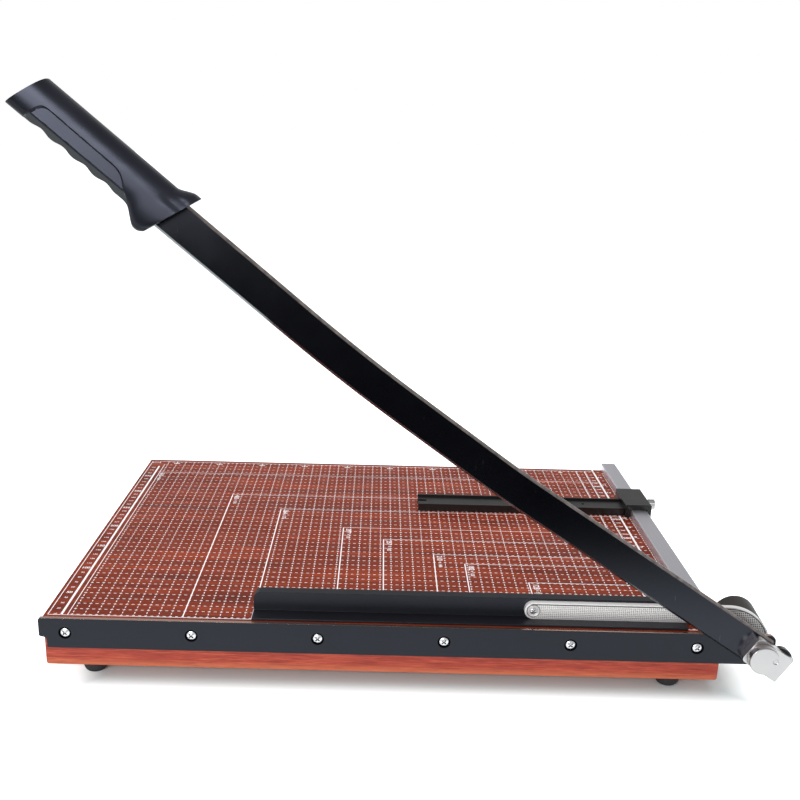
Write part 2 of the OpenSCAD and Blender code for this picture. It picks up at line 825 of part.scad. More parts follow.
// Twice-bent knife with a bevelled back, a ground edge, a tang for the handle and a tail for the block
module knife_arm() {
    rings = [
        for (i = [0:knife_stations]) knife_ring(arm_start_s + (arm_end_s - arm_start_s) * i / knife_stations)
    ];
    color("#1b1b1f")
        arm_frame()
            difference() {
                union() {
                    polyhedron([for (r = rings) each r], tube_faces(len(rings), len(knife_section)));
                    xz(-arm_t, arm_t)
                        tail_outline();
                    handle_frame()
                        translate([tang_from, -arm_t, tang_h - tang_w / 2])
                            cube([tang_l, tang_t, tang_w]);
                }
                rod_y(0, 0, -arm_t - cut, cut, pivot_d + 2 * run_gap);
                at_block_screws()
                    sunk_hole(block_screw_d, block_mouth_d, arm_t + cut, block_sink);
            }
}

// Places of the two block screws, on the arm's back and looking out of it
module at_block_screws() {
    for (side = [-1, 1])
        translate([block_screw_x, 0, arm_rise + side * block_screw_gap / 2])
            rotate([-90, 0, 0])
                children();
}

// Dished ring that keeps the knife against the fixed blade
module spring_washer() {
    dish = spring_washer_t / 2;
    inner_r = pivot_d / 2 + hole_gap;
    outer_r = pivot_head_d / 2 - hole_gap;
    color("#8d9096")
        along_y(pivot_x, arm_front - spring_washer_t, pivot_z)
            rotate_extrude()
                polygon([[inner_r, 0], [outer_r, dish], [outer_r, spring_washer_t], [inner_r, dish]]);
}

// Bright block on the arm's tail, with a round boss that covers the bolt's head
module pivot_block() {
    boss_r = block_w / 2;
    cavity_d = pivot_head_d + pivot_d / 9;
    cavity_h = spring_washer_t + pivot_head_t + seat_gap;
    front_h = block_t + boss_h;
    dimple_a = 33;
    dimple_at = boss_r - dimple_d * 0.62;
    color("#dcdde0")
        arm_frame()
            translate([0, -arm_t, 0])
                rotate([90, 0, 0])
                    difference() {
                        union() {
                            linear_extrude(block_t)
                                polygon(round_corners(-block_fore, arm_rise - block_w / 2, block_fore + block_aft, block_w,
                                    [block_r, block_r / 7, block_r / 7, block_r]));
                            rotate_extrude()
                                polygon(concat(
                                    [[0, 0], [boss_r, 0]],
                                    arc([boss_r - boss_round, front_h - boss_round], boss_round, 0, 90),
                                    [[0, front_h]]
                                ));
                        }
                        translate([0, 0, -cut])
                            cylinder(d = cavity_d, h = cavity_h + cut);
                        for (side = [-1, 1])
                            translate([block_screw_x, arm_rise + side * block_screw_gap / 2, -cut])
                                cylinder(d = block_screw_d + 2 * hole_gap, h = block_t - hole_gap * 4 + cut);
                        translate([dimple_at * cos(dimple_a), dimple_at * sin(dimple_a), front_h - dimple_h])
                            cylinder(d1 = dimple_d * 0.7, d2 = dimple_d, h = dimple_h + hole_gap);
                    }
}

module block_screws() {
    color("#b9bcc0")
        arm_frame()
            at_block_screws()
                translate([0, 0, -block_sink - seat_depth(block_mouth_d, block_screw_head_d)])
                    sunk_screw(block_screw_d, block_screw_head_d, arm_t + block_t / 2);
}

// Frame of the handle: on the arm's middle line at the guard, the grip towards -X
module handle_frame() {
    at = arm_at(handle_s);
    translate([-at[0][0], 0, at[0][1]])
        rotate([0, at[1], 0])
            children();
}

// Smooth step from 0 to 1
function ease(t) = let (u = min(1, max(0, t))) u * u * (3 - 2 * u);

// Upper and lower edge of the handle at x from the guard
function handle_top(x) = guard_up + (grip_up - guard_up) * ease((x - guard_up_l / 3) / guard_up_l);
function groove_wave(x) = let (
    from = groove_first - groove_pitch / 2,
    to = from + grooves_n * groove_pitch
) (x < from || x > to) ? 0 : (1 - cos(360 * (x - from) / groove_pitch)) / 2;
function handle_bottom(x) = -(
    guard_down + (grip_down - guard_down) * ease((x - guard_down_l / 5) / guard_down_l)
) + groove_depth * groove_wave(x);

// One point of a section, with a the angle round it: depth in front of the arm's back, and height
function section_point(x, a, size_share) = let (
    top = handle_top(x),
    bottom = handle_bottom(x),
    c = cos(a),
    s = sin(a),
    side = sign(c) * pow(abs(c), 2 / section_power),
    up = sign(s) * pow(abs(s), 2 / section_power)
) [handle_t / 2 * (1 + side * size_share), (top + bottom) / 2 + (top - bottom) / 2 * up * size_share];

// One ring of points, leaning as the handle's ends do
function handle_ring(x, bulge, size_share) = [
    for (k = [0:section_sides - 1]) let (p = section_point(x, 360 * k / section_sides, size_share))
        [-(handle_start + x + bulge - (p[1] + guard_down) * tan(handle_lean)), -p[0], p[1]]
];

// Triangles between rings of equal length, with a fan at each end
function tube_faces(rings, sides) = concat(
    [for (j = [0:rings - 2]) for (k = [0:sides - 1]) let (n = (k + 1) % sides)
        each [[j * sides + k, (j + 1) * sides + k, (j + 1) * sides + n], [j * sides + k, (j + 1) * sides + n, j * sides + n]]],
    [for (k = [1:sides - 2]) [0, k, k + 1]],
    [for (k = [1:sides - 2]) let (o = (rings - 1) * sides) [o, o + k + 1, o + k]]
);

// Outline of the recess: round upper corners, and open below the grip
module panel_outline() {
    high = panel_up - panel_r;
    near_x = panel_from + (panel_r + high * sin(panel_lean)) / cos(panel_lean);
    far_x = panel_to - (panel_r + high * sin(handle_lean)) / cos(handle_lean);
    polygon(concat(
        [[-panel_from + guard_down * tan(panel_lean), -guard_down]],
        arc([-near_x, high], panel_r, panel_lean, 90),
        arc([-far_x, high], panel_r, 90, 180 - handle_lean),
        [[-panel_to - guard_down * tan(handle_lean), -guard_down]]
    ));
}

// Solid of the recess: flat beside the grip, then sloping under it
module panel_cut() {
    flat = panel_depth - handle_t;
    intersection() {
        xz(-handle_t - cut, handle_t)
            panel_outline();
        translate([-panel_to - guard_down, 0, 0])
            rotate([90, 0, 90])
                linear_extrude(panel_to + guard_down * 2)
                    polygon([
                        [-handle_t - cut * 2, panel_up + panel_r],
                        [flat, panel_up + panel_r],
                        [flat, -panel_down],
                        [flat + (guard_down - panel_down) * tan(panel_under), -guard_down - cut],
                        [-handle_t - cut * 2, -guard_down - cut]
                    ]);
    }
}

// Moulded grip with finger grooves, a flared guard and a recess in its front side
module handle() {
    rings = concat(
        [for (i = [0:handle_stations]) handle_ring(handle_l * i / handle_stations, 0, 1)],
        [for (i = [0:len(cap_size_share) - 1]) handle_ring(handle_l, tip_bulge * cap_bulge_share[i], cap_size_share[i])]
    );
    color("#26272e")
        arm_frame()
            handle_frame()
                difference() {
                    polyhedron([for (r = rings) each r], tube_faces(len(rings), section_sides));
                    translate([-guard_down_l * 1.1, -arm_t - hole_gap, -arm_w / 2 - hole_gap])
                        cube([guard_down_l * 1.1 + handle_l, arm_t + hole_gap + cut, arm_w + 2 * hole_gap]);
                    translate([tang_from - hole_gap, -arm_t - hole_gap, tang_h - tang_w / 2 - hole_gap])
                        cube([tang_l + hole_gap, tang_t + 2 * hole_gap, tang_w + 2 * hole_gap]);
                    panel_cut();
                }
}

// Pressed steel bar: a web with a foot flange in front and a flange round its top and ends behind
module press_bar() {
    foot_front = press_web - press_foot_w;
    color("#202125")
        difference() {
            union() {
                xz(press_web, press_top_w)
                    press_outline(0);
                translate([press_left, foot_front, press_z])
                    cube([press_l, press_web + press_t - foot_front, press_t]);
            }
            xz(press_web + press_t, press_top_w)
                press_outline(press_t);
            rod_y(lever_screw_x, lever_screw_z, press_web - cut, press_web + press_t + cut, lever_screw_d + 2 * hole_gap);
        }
}

// Outline of the press bar's web, drawn in by the sheet at the top and ends and open below
module press_outline(inset) {
    r = press_corner_r - inset;
    low = inset > 0 ? press_z - cut : press_z;
    high = press_z + press_h - inset;
    polygon(concat(
        [[press_left + inset, low], [press_right - inset, low]],
        arc([press_right - inset - r, high - r], r, 0, 90),
        arc([press_left + inset + r, high - r], r, 90, 180)
    ));
}

// Lever outline drawn in by inset: a straight tray that curls down round the board's corner to its eye.
// The outer curl touches the straight's upper edge and the eye.
module lever_outline(inset) {
    rise = lever_low - pivot_z;
    high = rise + lever_w;
    curl_z = high - lever_curl_r;
    curl_x = -sqrt(pow(lever_curl_r - lever_eye_r, 2) - pow(curl_z, 2));
    touch_z = -curl_z * lever_eye_r / (lever_curl_r - lever_eye_r);
    neck_x = -lever_eye_r - rise;
    difference() {
        union() {
            intersection() {
                translate([curl_x, curl_z])
                    circle(r = lever_curl_r - inset);
                translate([neck_x, touch_z])
                    square([lever_eye_r - neck_x, high - touch_z]);
            }
            translate([neck_x, 0])
                square([-neck_x, touch_z]);
            translate([-lever_reach, rise + inset])
                square([lever_reach + curl_x, lever_w - 2 * inset]);
            translate([-lever_reach, rise + lever_w / 2])
                circle(d = lever_w - 2 * inset);
        }
        translate([neck_x, 0])
            circle(r = rise + inset);
    }
    circle(r = lever_eye_r - inset);
}

// Bright pressed tray with a dish for its screw and a plain eye on the bolt
module press_lever() {
    color("#d9dadd")
        difference() {
            union() {
                difference() {
                    xz(lever_front, lever_depth)
                        translate([pivot_x, pivot_z])
                            lever_outline(0);
                    xz(lever_front + lever_t, lever_depth)
                        translate([pivot_x, pivot_z])
                            lever_outline(lever_t);
                }
                rod_y(lever_screw_x, lever_screw_z, lever_front + lever_t / 2, press_web, lever_dish_d);
            }
            along_y(lever_screw_x, lever_front, lever_screw_z)
                cylinder(d1 = lever_dish_d, d2 = lever_screw_head_d + 2 * hole_gap, h = lever_dish_h);
            rod_y(lever_screw_x, lever_screw_z, lever_front - cut, press_web + cut, lever_screw_d + 2 * hole_gap);
            rod_y(pivot_x, pivot_z, lever_front - cut, lever_back + cut, pivot_d + 2 * run_gap);
            rod_y(pivot_x + spring_d / 2, pivot_z, lever_front - cut, lever_front + lever_t + cut,
                spring_wire_d + 2 * hole_gap);
        }
}

module lever_screw() {
    shank_l = press_web + press_t + lever_nut_t * 1.2 - lever_front - lever_dish_h;
    color("#b9bcc0")
        along_y(lever_screw_x, lever_front + lever_dish_h, lever_screw_z)
            rotate([180, 0, 0])
                pan_screw(lever_screw_d, lever_screw_head_d, shank_l);
}

module lever_nut() {
    color("#b9bcc0")
        along_y(lever_screw_x, press_web + press_t, lever_screw_z)
            hex_nut(lever_nut_d, lever_screw_d + 2 * run_gap, lever_nut_t);
}

// Middle line of the spring: a leg along Y, a bend, then turns about the bolt; each row is y, angle, slope
function spring_row(y, travel, slope) = [y, travel * 180 / (PI * spring_d / 2), slope];
spring_rows = concat(
    [spring_row(lever_front, 0, 90), spring_row(spring_start, 0, 90)],
    [for (i = [1:spring_bend_steps]) let (a = 90 * i / spring_bend_steps)
        spring_row(spring_start + spring_bend_r * sin(a), spring_bend_r * (1 - cos(a)), 90 - a)],
    [for (i = [1:spring_turns * spring_steps_per_turn]) let (t = i / spring_steps_per_turn)
        spring_row(spring_start + spring_bend_r + spring_pitch * t, spring_bend_r + PI * spring_d * t, 0)]
);

// One ring of the spring's tube: a point on the bolt's cylinder, its outward direction and its run
function spring_ring(row) = let (
    out = [cos(row[1]), 0, sin(row[1])],
    round_way = [-sin(row[1]), 0, cos(row[1])],
    run = round_way * cos(row[2]) + [0, 1, 0] * sin(row[2]),
    across = cross(run, out),
    middle = [0, row[0], 0] + out * spring_d / 2
) [for (k = [0:spring_sides - 1]) let (a = 360 * k / spring_sides)
    middle + (out * cos(a) + across * sin(a)) * spring_wire_d / 2];

module torsion_spring() {
    color("#8d9096")
        translate([pivot_x, 0, pivot_z])
            polyhedron([for (r = spring_rows) each spring_ring(r)], tube_faces(len(spring_rows), spring_sides));
}

// Channel-shaped block that rides on the rail
module stop_block() {
    left = stop_left;
    right = stop_right;
    low = table_z + seat_gap;
    color("#33322f")
        difference() {
            xz(stop_front, stop_l)
                polygon([
                    [left, low],
                    [rail_left - stop_play, low],
                    [rail_left - stop_play, stop_roof_z - stop_roof_t],
                    [rail_right + stop_play, stop_roof_z - stop_roof_t],
                    [rail_right + stop_play, low],
                    [right, low],
                    [right, stop_roof_z - stop_bevel],
                    [right - stop_bevel, stop_roof_z],
                    [left + stop_bevel, stop_roof_z],
                    [left, stop_roof_z - stop_bevel]
                ]);
            translate([rail_right + stop_play - cut, stop_middle, table_z + thumb_z])
                rotate([0, 90, 0])
                    cylinder(d = thumb_shank_d + 2 * run_gap, h = stop_outer_t + 2 * cut);
            at_guide_screws()
                sunk_hole(guide_screw_d, guide_mouth_d, stop_inner_t + cut, guide_sink);
        }
}

// Hollow bar with a rib along its back edge, slotted at its free end and closed at the stop block
module guide_bar() {
    low = table_z + seat_gap;
    high = table_z + guide_h;
    hollow_w = guide_w - 2 * guide_wall;
    color("#3a3936")
        difference() {
            union() {
                translate([guide_left, guide_front, low])
                    cube([guide_l, guide_w, high - low]);
                translate([guide_left, guide_front + guide_w - guide_wall, low])
                    cube([guide_l, guide_wall, high - low + guide_rib_h]);
            }
            translate([guide_left - cut, guide_front + guide_wall, low - cut])
                cube([guide_l - guide_plug_l + cut, hollow_w, high - low - guide_wall + cut]);
            translate([guide_left, guide_front + guide_slot_y, low - cut])
                linear_extrude(guide_h + 2 * cut)
                    polygon(concat(
                        [[-cut, -guide_slot_w / 2]],
                        arc([guide_slot_l - guide_slot_w / 2, 0], guide_slot_w / 2, -90, 90),
                        [[-cut, guide_slot_w / 2]]
                    ));
            translate([stop_left - guide_hole_x, guide_front + guide_slot_y, low - cut])
                cylinder(d = guide_hole_d, h = guide_h + 2 * cut);
            at_guide_screws()
                translate([0, 0, -guide_screw_l - guide_screw_d])
                    cylinder(d = guide_screw_d + 2 * hole_gap, h = guide_screw_l + guide_screw_d);
        }
}

module guide_screws() {
    color("#b9bcc0")
        at_guide_screws()
            translate([0, 0, -guide_sink - seat_depth(guide_mouth_d, guide_head_d)])
                sunk_screw(guide_screw_d, guide_head_d, guide_screw_l);
}

// Fluted head on a shank that clamps the stop block against the rail's outer side
module thumb_screw() {
    flutes = 20;
    flute_h = thumb_d / 26;
    head_x = stop_right + thumb_neck;
    tip_x = rail_right + run_gap;
    color("#d7d9dc")
        translate([0, stop_middle, table_z + thumb_z]) {
            translate([tip_x, 0, 0])
                rotate([0, 90, 0])
                    cylinder(d = thumb_shank_d, h = head_x - tip_x + cut);
            translate([head_x, 0, 0])
                rotate([0, 90, 0])
                    intersection() {
                        linear_extrude(thumb_t)
                            polygon([for (i = [0:2 * flutes - 1])
                                let (r = thumb_d / 2 - flute_h * (i % 2), a = 180 * i / flutes) [r * cos(a), r * sin(a)]]);
                        rotate_extrude()
                            polygon([
                                [0, 0], [thumb_d / 2 - flute_h, 0], [thumb_d / 2 + flute_h, flute_h * 2],
                                [thumb_d / 2 + flute_h, thumb_t - flute_h * 2], [thumb_d / 2 - flute_h, thumb_t],
                                [thumb_d / 4, thumb_t], [thumb_d / 5, thumb_t - flute_h], [0, thumb_t - flute_h]
                            ]);
                    }
        }
}

baseboard();
feet();
foot_screws();
fixed_blade();
blade_screws();
ruler_rail();
ruler_screws();
pivot_bolt();
pivot_spacer();
spring_arbor();
spring_cover();
rear_washer();
pivot_nut();
knife_arm();
spring_washer();
pivot_block();
block_screws();
handle();
press_bar();
press_lever();
lever_screw();
lever_nut();
torsion_spring();
stop_block();
guide_bar();
guide_screws();
thumb_screw();
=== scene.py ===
import math

import bmesh
import bpy
from mathutils import Matrix, Vector


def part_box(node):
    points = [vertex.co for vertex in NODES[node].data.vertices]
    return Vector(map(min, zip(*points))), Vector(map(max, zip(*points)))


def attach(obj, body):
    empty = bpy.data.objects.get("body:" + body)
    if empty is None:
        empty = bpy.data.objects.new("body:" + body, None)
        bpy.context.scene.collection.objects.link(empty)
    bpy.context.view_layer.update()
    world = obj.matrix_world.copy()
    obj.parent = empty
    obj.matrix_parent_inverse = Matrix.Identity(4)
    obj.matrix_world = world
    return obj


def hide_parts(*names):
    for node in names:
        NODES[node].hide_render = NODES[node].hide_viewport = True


MM = 0.001

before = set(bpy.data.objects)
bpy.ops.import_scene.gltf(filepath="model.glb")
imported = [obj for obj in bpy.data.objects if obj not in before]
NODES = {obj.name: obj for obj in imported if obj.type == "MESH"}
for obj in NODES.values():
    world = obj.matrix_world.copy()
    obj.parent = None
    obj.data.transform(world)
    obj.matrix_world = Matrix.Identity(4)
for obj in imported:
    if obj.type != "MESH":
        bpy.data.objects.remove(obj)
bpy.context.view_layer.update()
BOARD_LOW, BOARD_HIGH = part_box("baseboard")

# The print's frame, in millimetres: x from the ruler's inner edge, y from the cutting line, z from the table
PRINT_LEFT = -532.5
PRINT_FRONT = 5.3
ORIGIN = Vector((BOARD_LOW.x - PRINT_LEFT * MM, BOARD_LOW.y - PRINT_FRONT * MM, BOARD_HIGH.z))
# The pivot, in millimetres, and the arm's turn at rest, in degrees, as in the CAD
PIVOT = (276.4276, -190.9, 42.2)
ARM_TURN = 33.3


def place(x, y, z=0.0):
    """A point of the print's frame in the model's frame."""
    return ORIGIN + Vector((x, y, z)) * MM


def show(name, data):
    """A new object of that mesh, lamp or camera in the scene."""
    made = bpy.data.objects.new(name, data)
    bpy.context.scene.collection.objects.link(made)
    return made


# Camera: place in the print's frame, its axes, and the lens as fitted to the photo's printed lines
CAMERA_AT = (-265.0, -737.6, 386.1)
CAMERA_FORWARD = (-0.0031, 0.956, -0.2935)
CAMERA_RIGHT = (0.9997, 0.010, 0.0219)
IMAGE_SIZE = 800
FOCAL_PX = 1019.8
PRINCIPAL_PX = (374.6, 437.1)
SENSOR = 36.0
CLIP = (0.01, 50)


def add_camera():
    data = bpy.data.cameras.new("camera")
    data.sensor_width = SENSOR
    data.lens = FOCAL_PX / IMAGE_SIZE * SENSOR
    data.shift_x = (IMAGE_SIZE / 2 - PRINCIPAL_PX[0]) / IMAGE_SIZE
    data.shift_y = (PRINCIPAL_PX[1] - IMAGE_SIZE / 2) / IMAGE_SIZE
    data.clip_start, data.clip_end = CLIP
    camera = show("camera", data)
    back = -Vector(CAMERA_FORWARD).normalized()
    right = Vector(CAMERA_RIGHT)
    right = (right - back * right.dot(back)).normalized()
    up = back.cross(right)
    turn = Matrix((right, up, back)).transposed().to_4x4()
    camera.matrix_world = Matrix.Translation(place(*CAMERA_AT)) @ turn
    bpy.context.scene.camera = camera


class NodeTree:
    """Short calls for the nodes of one tree."""

    def __init__(self, tree):
        self.tree = tree

    def feed(self, target, value):
        """Links a socket, or sets a plain value."""
        if isinstance(value, bpy.types.NodeSocket):
            self.tree.links.new(value, target)
        else:
            target.default_value = value

    def add(self, kind, inputs=None, **settings):
        """A new node with these settings, its inputs fed by name or number."""
        node = self.tree.nodes.new(kind)
        for key, value in settings.items():
            setattr(node, key, value)
        for key, value in (inputs or {}).items():
            self.feed(node.inputs[key], value)
        return node

    def math(self, operation, *values):
        return self.add("ShaderNodeMath", dict(enumerate(values)), operation=operation).outputs[0]

    def times(self, a, b):
        return self.math("MULTIPLY", a, b)

    def less(self, a, b):
        return self.math("SUBTRACT", a, b)

    def either(self, a, b):
        return self.math("MAXIMUM", a, b)

    def line(self, value, slope, start):
        """The value times a slope, from a start."""
        return self.math("MULTIPLY_ADD", value, slope, start)

    def reach(self, a, b):
        """How far off a point lies that is a and b away."""
        return self.math("SQRT", self.math("ADD", self.times(a, a), self.times(b, b)))

    def spread(self, value, low, high, start=0.0, end=1.0):
        """From start to end while the value goes from low to high, softly."""
        inputs = {"Value": value, "From Min": low, "From Max": high, "To Min": start, "To Max": end}
        return self.add("ShaderNodeMapRange", inputs, interpolation_type="SMOOTHSTEP").outputs["Result"]

    def above(self, value, edge, soft):
        """0 below the edge and 1 above it, over a soft step."""
        return self.spread(value, edge - soft / 2, edge + soft / 2)

    def part(self, vector, name):
        return self.add("ShaderNodeSeparateXYZ", {0: vector}).outputs[name]

    def ramp(self, value, stops):
        """Colours or greys along a value: stops are (place, colour or grey)."""
        node = self.add("ShaderNodeValToRGB", {"Fac": value})
        elements = node.color_ramp.elements
        while len(elements) < len(stops):
            elements.new(0.5)
        for element, (at, tone) in zip(elements, stops):
            element.position = at
            element.color = (*tone, 1) if hasattr(tone, "__len__") else (tone, tone, tone, 1)
        return node.outputs["Color"]


BEVEL_SAMPLES = 4


class Shader(NodeTree):
    """A material with short calls for its nodes."""

    def __init__(self, name, base, roughness, metallic=0.0, **settings):
        self.material = bpy.data.materials.new(name)
        self.material.use_nodes = True
        self.material.diffuse_color = (*base, 1)
        super().__init__(self.material.node_tree)
        self.surface = self.tree.nodes["Principled BSDF"]
        self.set(base_color=(*base, 1), roughness=roughness, metallic=metallic, **settings)
        self.coordinates = self.add("ShaderNodeTexCoord").outputs["Object"]

    def set(self, **inputs):
        """Links or sets inputs of the surface, named as in specular_ior_level."""
        for key, value in inputs.items():
            name = key.replace("_", " ").title().replace("Ior", "IOR")
            self.feed(self.surface.inputs[name], value)

    def scaled(self, scale, offset=(0, 0, 0), turn=(0, 0, 0)):
        inputs = {"Vector": self.coordinates, "Scale": scale, "Location": offset, "Rotation": turn}
        return self.add("ShaderNodeMapping", inputs).outputs[0]

    def noise(self, pattern, vector=None):
        """Noise of a pattern: scale, detail, roughness and distortion."""
        inputs = dict(zip(("Scale", "Detail", "Roughness", "Distortion"), pattern))
        inputs["Vector"] = vector or self.coordinates
        return self.add("ShaderNodeTexNoise", inputs).outputs["Fac"]

    def mix(self, share, a, b, blend="MIX"):
        a, b = ((*tone, 1) if isinstance(tone, tuple) else tone for tone in (a, b))
        inputs = {"Factor": share, "A": a, "B": b}
        return self.add("ShaderNodeMix", inputs, data_type="RGBA", blend_type=blend).outputs["Result"]

    def axis(self, name):
        return self.part(self.coordinates, name)

    def normal(self):
        return self.add("ShaderNodeTexCoord").outputs["Normal"]

    def facing(self, name):
        """How far a face looks along an axis of the object."""
        return self.part(self.normal(), name)

    def toward(self, way):
        """How far a face looks in a direction of the object."""
        inputs = {0: self.normal(), 1: way}
        return self.add("ShaderNodeVectorMath", inputs, operation="DOT_PRODUCT").outputs["Value"]

    def bump(self, *layers, edge=0.0):
        """Height layers of (value, (strength, distance in millimetres)), over softened edges."""
        normal = None
        if edge:
            node = self.add("ShaderNodeBevel", {"Radius": edge * MM}, samples=BEVEL_SAMPLES)
            normal = node.outputs["Normal"]
        for value, (strength, distance) in layers:
            inputs = {"Strength": strength, "Distance": distance * MM, "Height": value}
            if normal is not None:
                inputs["Normal"] = normal
            normal = self.add("ShaderNodeBump", inputs).outputs["Normal"]
        self.set(normal=normal)


# Board: dark streak, base and light streak of the laminate, and where they lie along the grain's value
TABLE_TONES = ((0.085, 0.011, 0.0045), (0.185, 0.023, 0.0065), (0.32, 0.047, 0.0105))
TABLE_STOPS = (0.34, 0.5, 0.66)
SIDE_TONES = ((0.21, 0.024, 0.013), (0.39, 0.05, 0.03), (0.60, 0.13, 0.06))
SIDE_STOPS = (0.32, 0.5, 0.7)
# Grain: scales along the board, across it and in depth, and a shift
TABLE_GRAIN = ((5, 70, 70), 3.1)
SIDE_GRAIN = ((26, 60, 420), 8.4)
STREAK_NOISE = (1, 5, 0.62, 0.6)
FINE_STREAK_NOISE = (1, 4, 0.6, 0.2)
FINE_STREAK_SCALE = (3, 5, 5)
FINE_STREAK_SHARE = 0.42
PORE_NOISE = (1, 2, 0.5, 0)
PORE_SCALE = (55, 900, 900)
PORE_STOPS = ((0.3, 0.72), (0.44, 1.0))
# Paler band along the sides' lower edge: height and softness in millimetres, tone, and plain wood's share
LOW_BAND = (4, 7)
LOW_TONE = (0.66, 0.19, 0.085)
LOW_PLAIN = 0.45
TOP_FACING = (0.7, 0.2)
TOP_GLOSS = 0.16
SIDE_GLOSS = 0.3
BOARD_ROUGH = 0.42
BOARD_HAZE = (40, 3, 0.5, 0)
BOARD_HAZE_STOPS = ((0.3, 0.36), (0.7, 0.5))
STREAK_BUMP = (0.25, 0.1)
PORE_BUMP = (0.3, 0.05)
BOARD_EDGE = 0.8


def wood_streaks(shader, scale, shift):
    """Grain drawn out along X, as a value from 0 to 1."""
    fine_scale = tuple(a * b for a, b in zip(scale, FINE_STREAK_SCALE))
    wide = shader.noise(STREAK_NOISE, shader.scaled(scale, (shift, 0, 0)))
    fine = shader.noise(FINE_STREAK_NOISE, shader.scaled(fine_scale, (0, shift, 0)))
    return shader.line(fine, FINE_STREAK_SHARE, shader.times(wide, 1 - FINE_STREAK_SHARE))


def board_wood():
    shader = Shader("board_wood", TABLE_TONES[1], BOARD_ROUGH, specular_ior_level=SIDE_GLOSS)
    top = shader.above(shader.facing("Z"), *TOP_FACING)
    table = shader.ramp(wood_streaks(shader, *TABLE_GRAIN), tuple(zip(TABLE_STOPS, TABLE_TONES)))
    streaks = wood_streaks(shader, *SIDE_GRAIN)
    plain = shader.ramp(streaks, tuple(zip(SIDE_STOPS, SIDE_TONES)))
    low = shader.above(shader.axis("Z"), BOARD_LOW.z + LOW_BAND[0] * MM, LOW_BAND[1] * MM)
    side = shader.mix(LOW_PLAIN, shader.mix(low, LOW_TONE, plain), plain)
    pores = shader.ramp(shader.noise(PORE_NOISE, shader.scaled(PORE_SCALE)), PORE_STOPS)
    shader.set(
        base_color=shader.mix(1.0, shader.mix(top, side, table), pores, "MULTIPLY"),
        roughness=shader.ramp(shader.noise(BOARD_HAZE), BOARD_HAZE_STOPS),
        specular_ior_level=shader.line(top, TOP_GLOSS - SIDE_GLOSS, SIDE_GLOSS),
    )
    shader.bump((streaks, STREAK_BUMP), (pores, PORE_BUMP), edge=BOARD_EDGE)
    return shader.material


INK = (0.74, 0.66, 0.66)
INK_ROUGH = 0.5
INK_NOISE = (900, 3, 0.6, 0)
INK_STOPS = ((0.3, (0.72, 0.64, 0.65)), (0.5, (0.88, 0.85, 0.87)))
INK_BUMP = (0.2, 0.01)


def print_ink():
    shader = Shader("print_ink", INK, INK_ROUGH)
    wear_and_highlight = shader.noise(INK_NOISE)
    shader.set(base_color=shader.ramp(wear_and_highlight, INK_STOPS))
    shader.bump((wear_and_highlight, INK_BUMP))
    return shader.material


# Black enamel: two tones, the cool tint of its gloss, and the patterns of clouding, dust and orange peel
BLACK_PAINT = ((0.0016, 0.0016, 0.0024), (0.0028, 0.0028, 0.004))
COOL = (0.8, 0.84, 1.0, 1)
CLOUD_NOISE = (9, 3, 0.55, 0)
CLOUD_STOPS = (0.3, 0.7)
DUST_NOISE = (700, 2, 0.7, 0)
DUST_STOPS = ((0.66, 0.0), (0.78, 1.0))
DUST_SHARE = 0.06
DUST_TONE = (0.12, 0.12, 0.13)
SHEEN_NOISE = (60, 3, 0.5, 0)
PEEL_NOISE = (420, 2, 0.5, 0)
PEEL_BUMP = (0.06, 0.05)


def paint_layers(shader, tones, rough):
    """Satin enamel: its colour, its roughness between two values, and its orange peel."""
    dust = shader.ramp(shader.noise(DUST_NOISE), DUST_STOPS)
    colour = shader.ramp(shader.noise(CLOUD_NOISE), tuple(zip(CLOUD_STOPS, tones)))
    colour = shader.mix(shader.times(dust, DUST_SHARE), colour, DUST_TONE)
    low, high = rough
    return colour, shader.line(shader.noise(SHEEN_NOISE), high - low, low), shader.noise(PEEL_NOISE)


def enamel(name, base, roughness, tones, rough, peel_bump, edge, **settings):
    shader = Shader(name, base, roughness, **settings)
    colour, sheen, peel = paint_layers(shader, tones, rough)
    shader.set(base_color=colour, roughness=sheen)
    shader.bump((peel, peel_bump), edge=edge)
    return shader.material


PRESS_PAINT = {
    "name": "press_paint", "base": (0.007, 0.007, 0.009), "roughness": 0.42, "specular_tint": COOL,
    "tones": ((0.004, 0.004, 0.0055), (0.0075, 0.0075, 0.01)), "rough": (0.38, 0.5),
    "peel_bump": (0.1, 0.05), "edge": 0.6,
}
STOP_PAINT = {
    "name": "stop_paint", "base": (0.006, 0.005, 0.005), "roughness": 0.4,
    "tones": ((0.0024, 0.0018, 0.0018), (0.005, 0.004, 0.0038)), "rough": (0.3, 0.4),
    "peel_bump": (0.08, 0.04), "edge": 0.4,
}


# Screws of one node lie further apart than this along X, in millimetres
SCREWS_APART = 20


def screw_middles(name):
    """Middles of a node's screws, in millimetres."""
    points = sorted(tuple(v.co / MM) for v in NODES[name].data.vertices)
    groups = [[points[0]]]
    for point in points[1:]:
        if point[0] - groups[-1][-1][0] > SCREWS_APART:
            groups.append([])
        groups[-1].append(point)
    return [[(min(values) + max(values)) / 2 for values in zip(*group)] for group in groups]


# Fixed blade: roughness, gloss, the ground land on its top, and the dull ring round each screw's head
BLADE_ROUGH = (0.28, 0.38)
BLADE_GLOSS = 0.42
BLADE_EDGE = 0.5
LAND_FACING = (0.8, 0.1)
LAND_NOISE = (1, 2, 0.5, 0)
LAND_SCALE = (40, 4000, 4000)
LAND_STOPS = ((0.3, (0.62, 0.40, 0.31)), (0.7, (0.86, 0.60, 0.48)))
LAND_SMOOTHER = -0.08
SEAT_RING = (5.2, 0.5)
SEAT_ROUGHER = 0.5


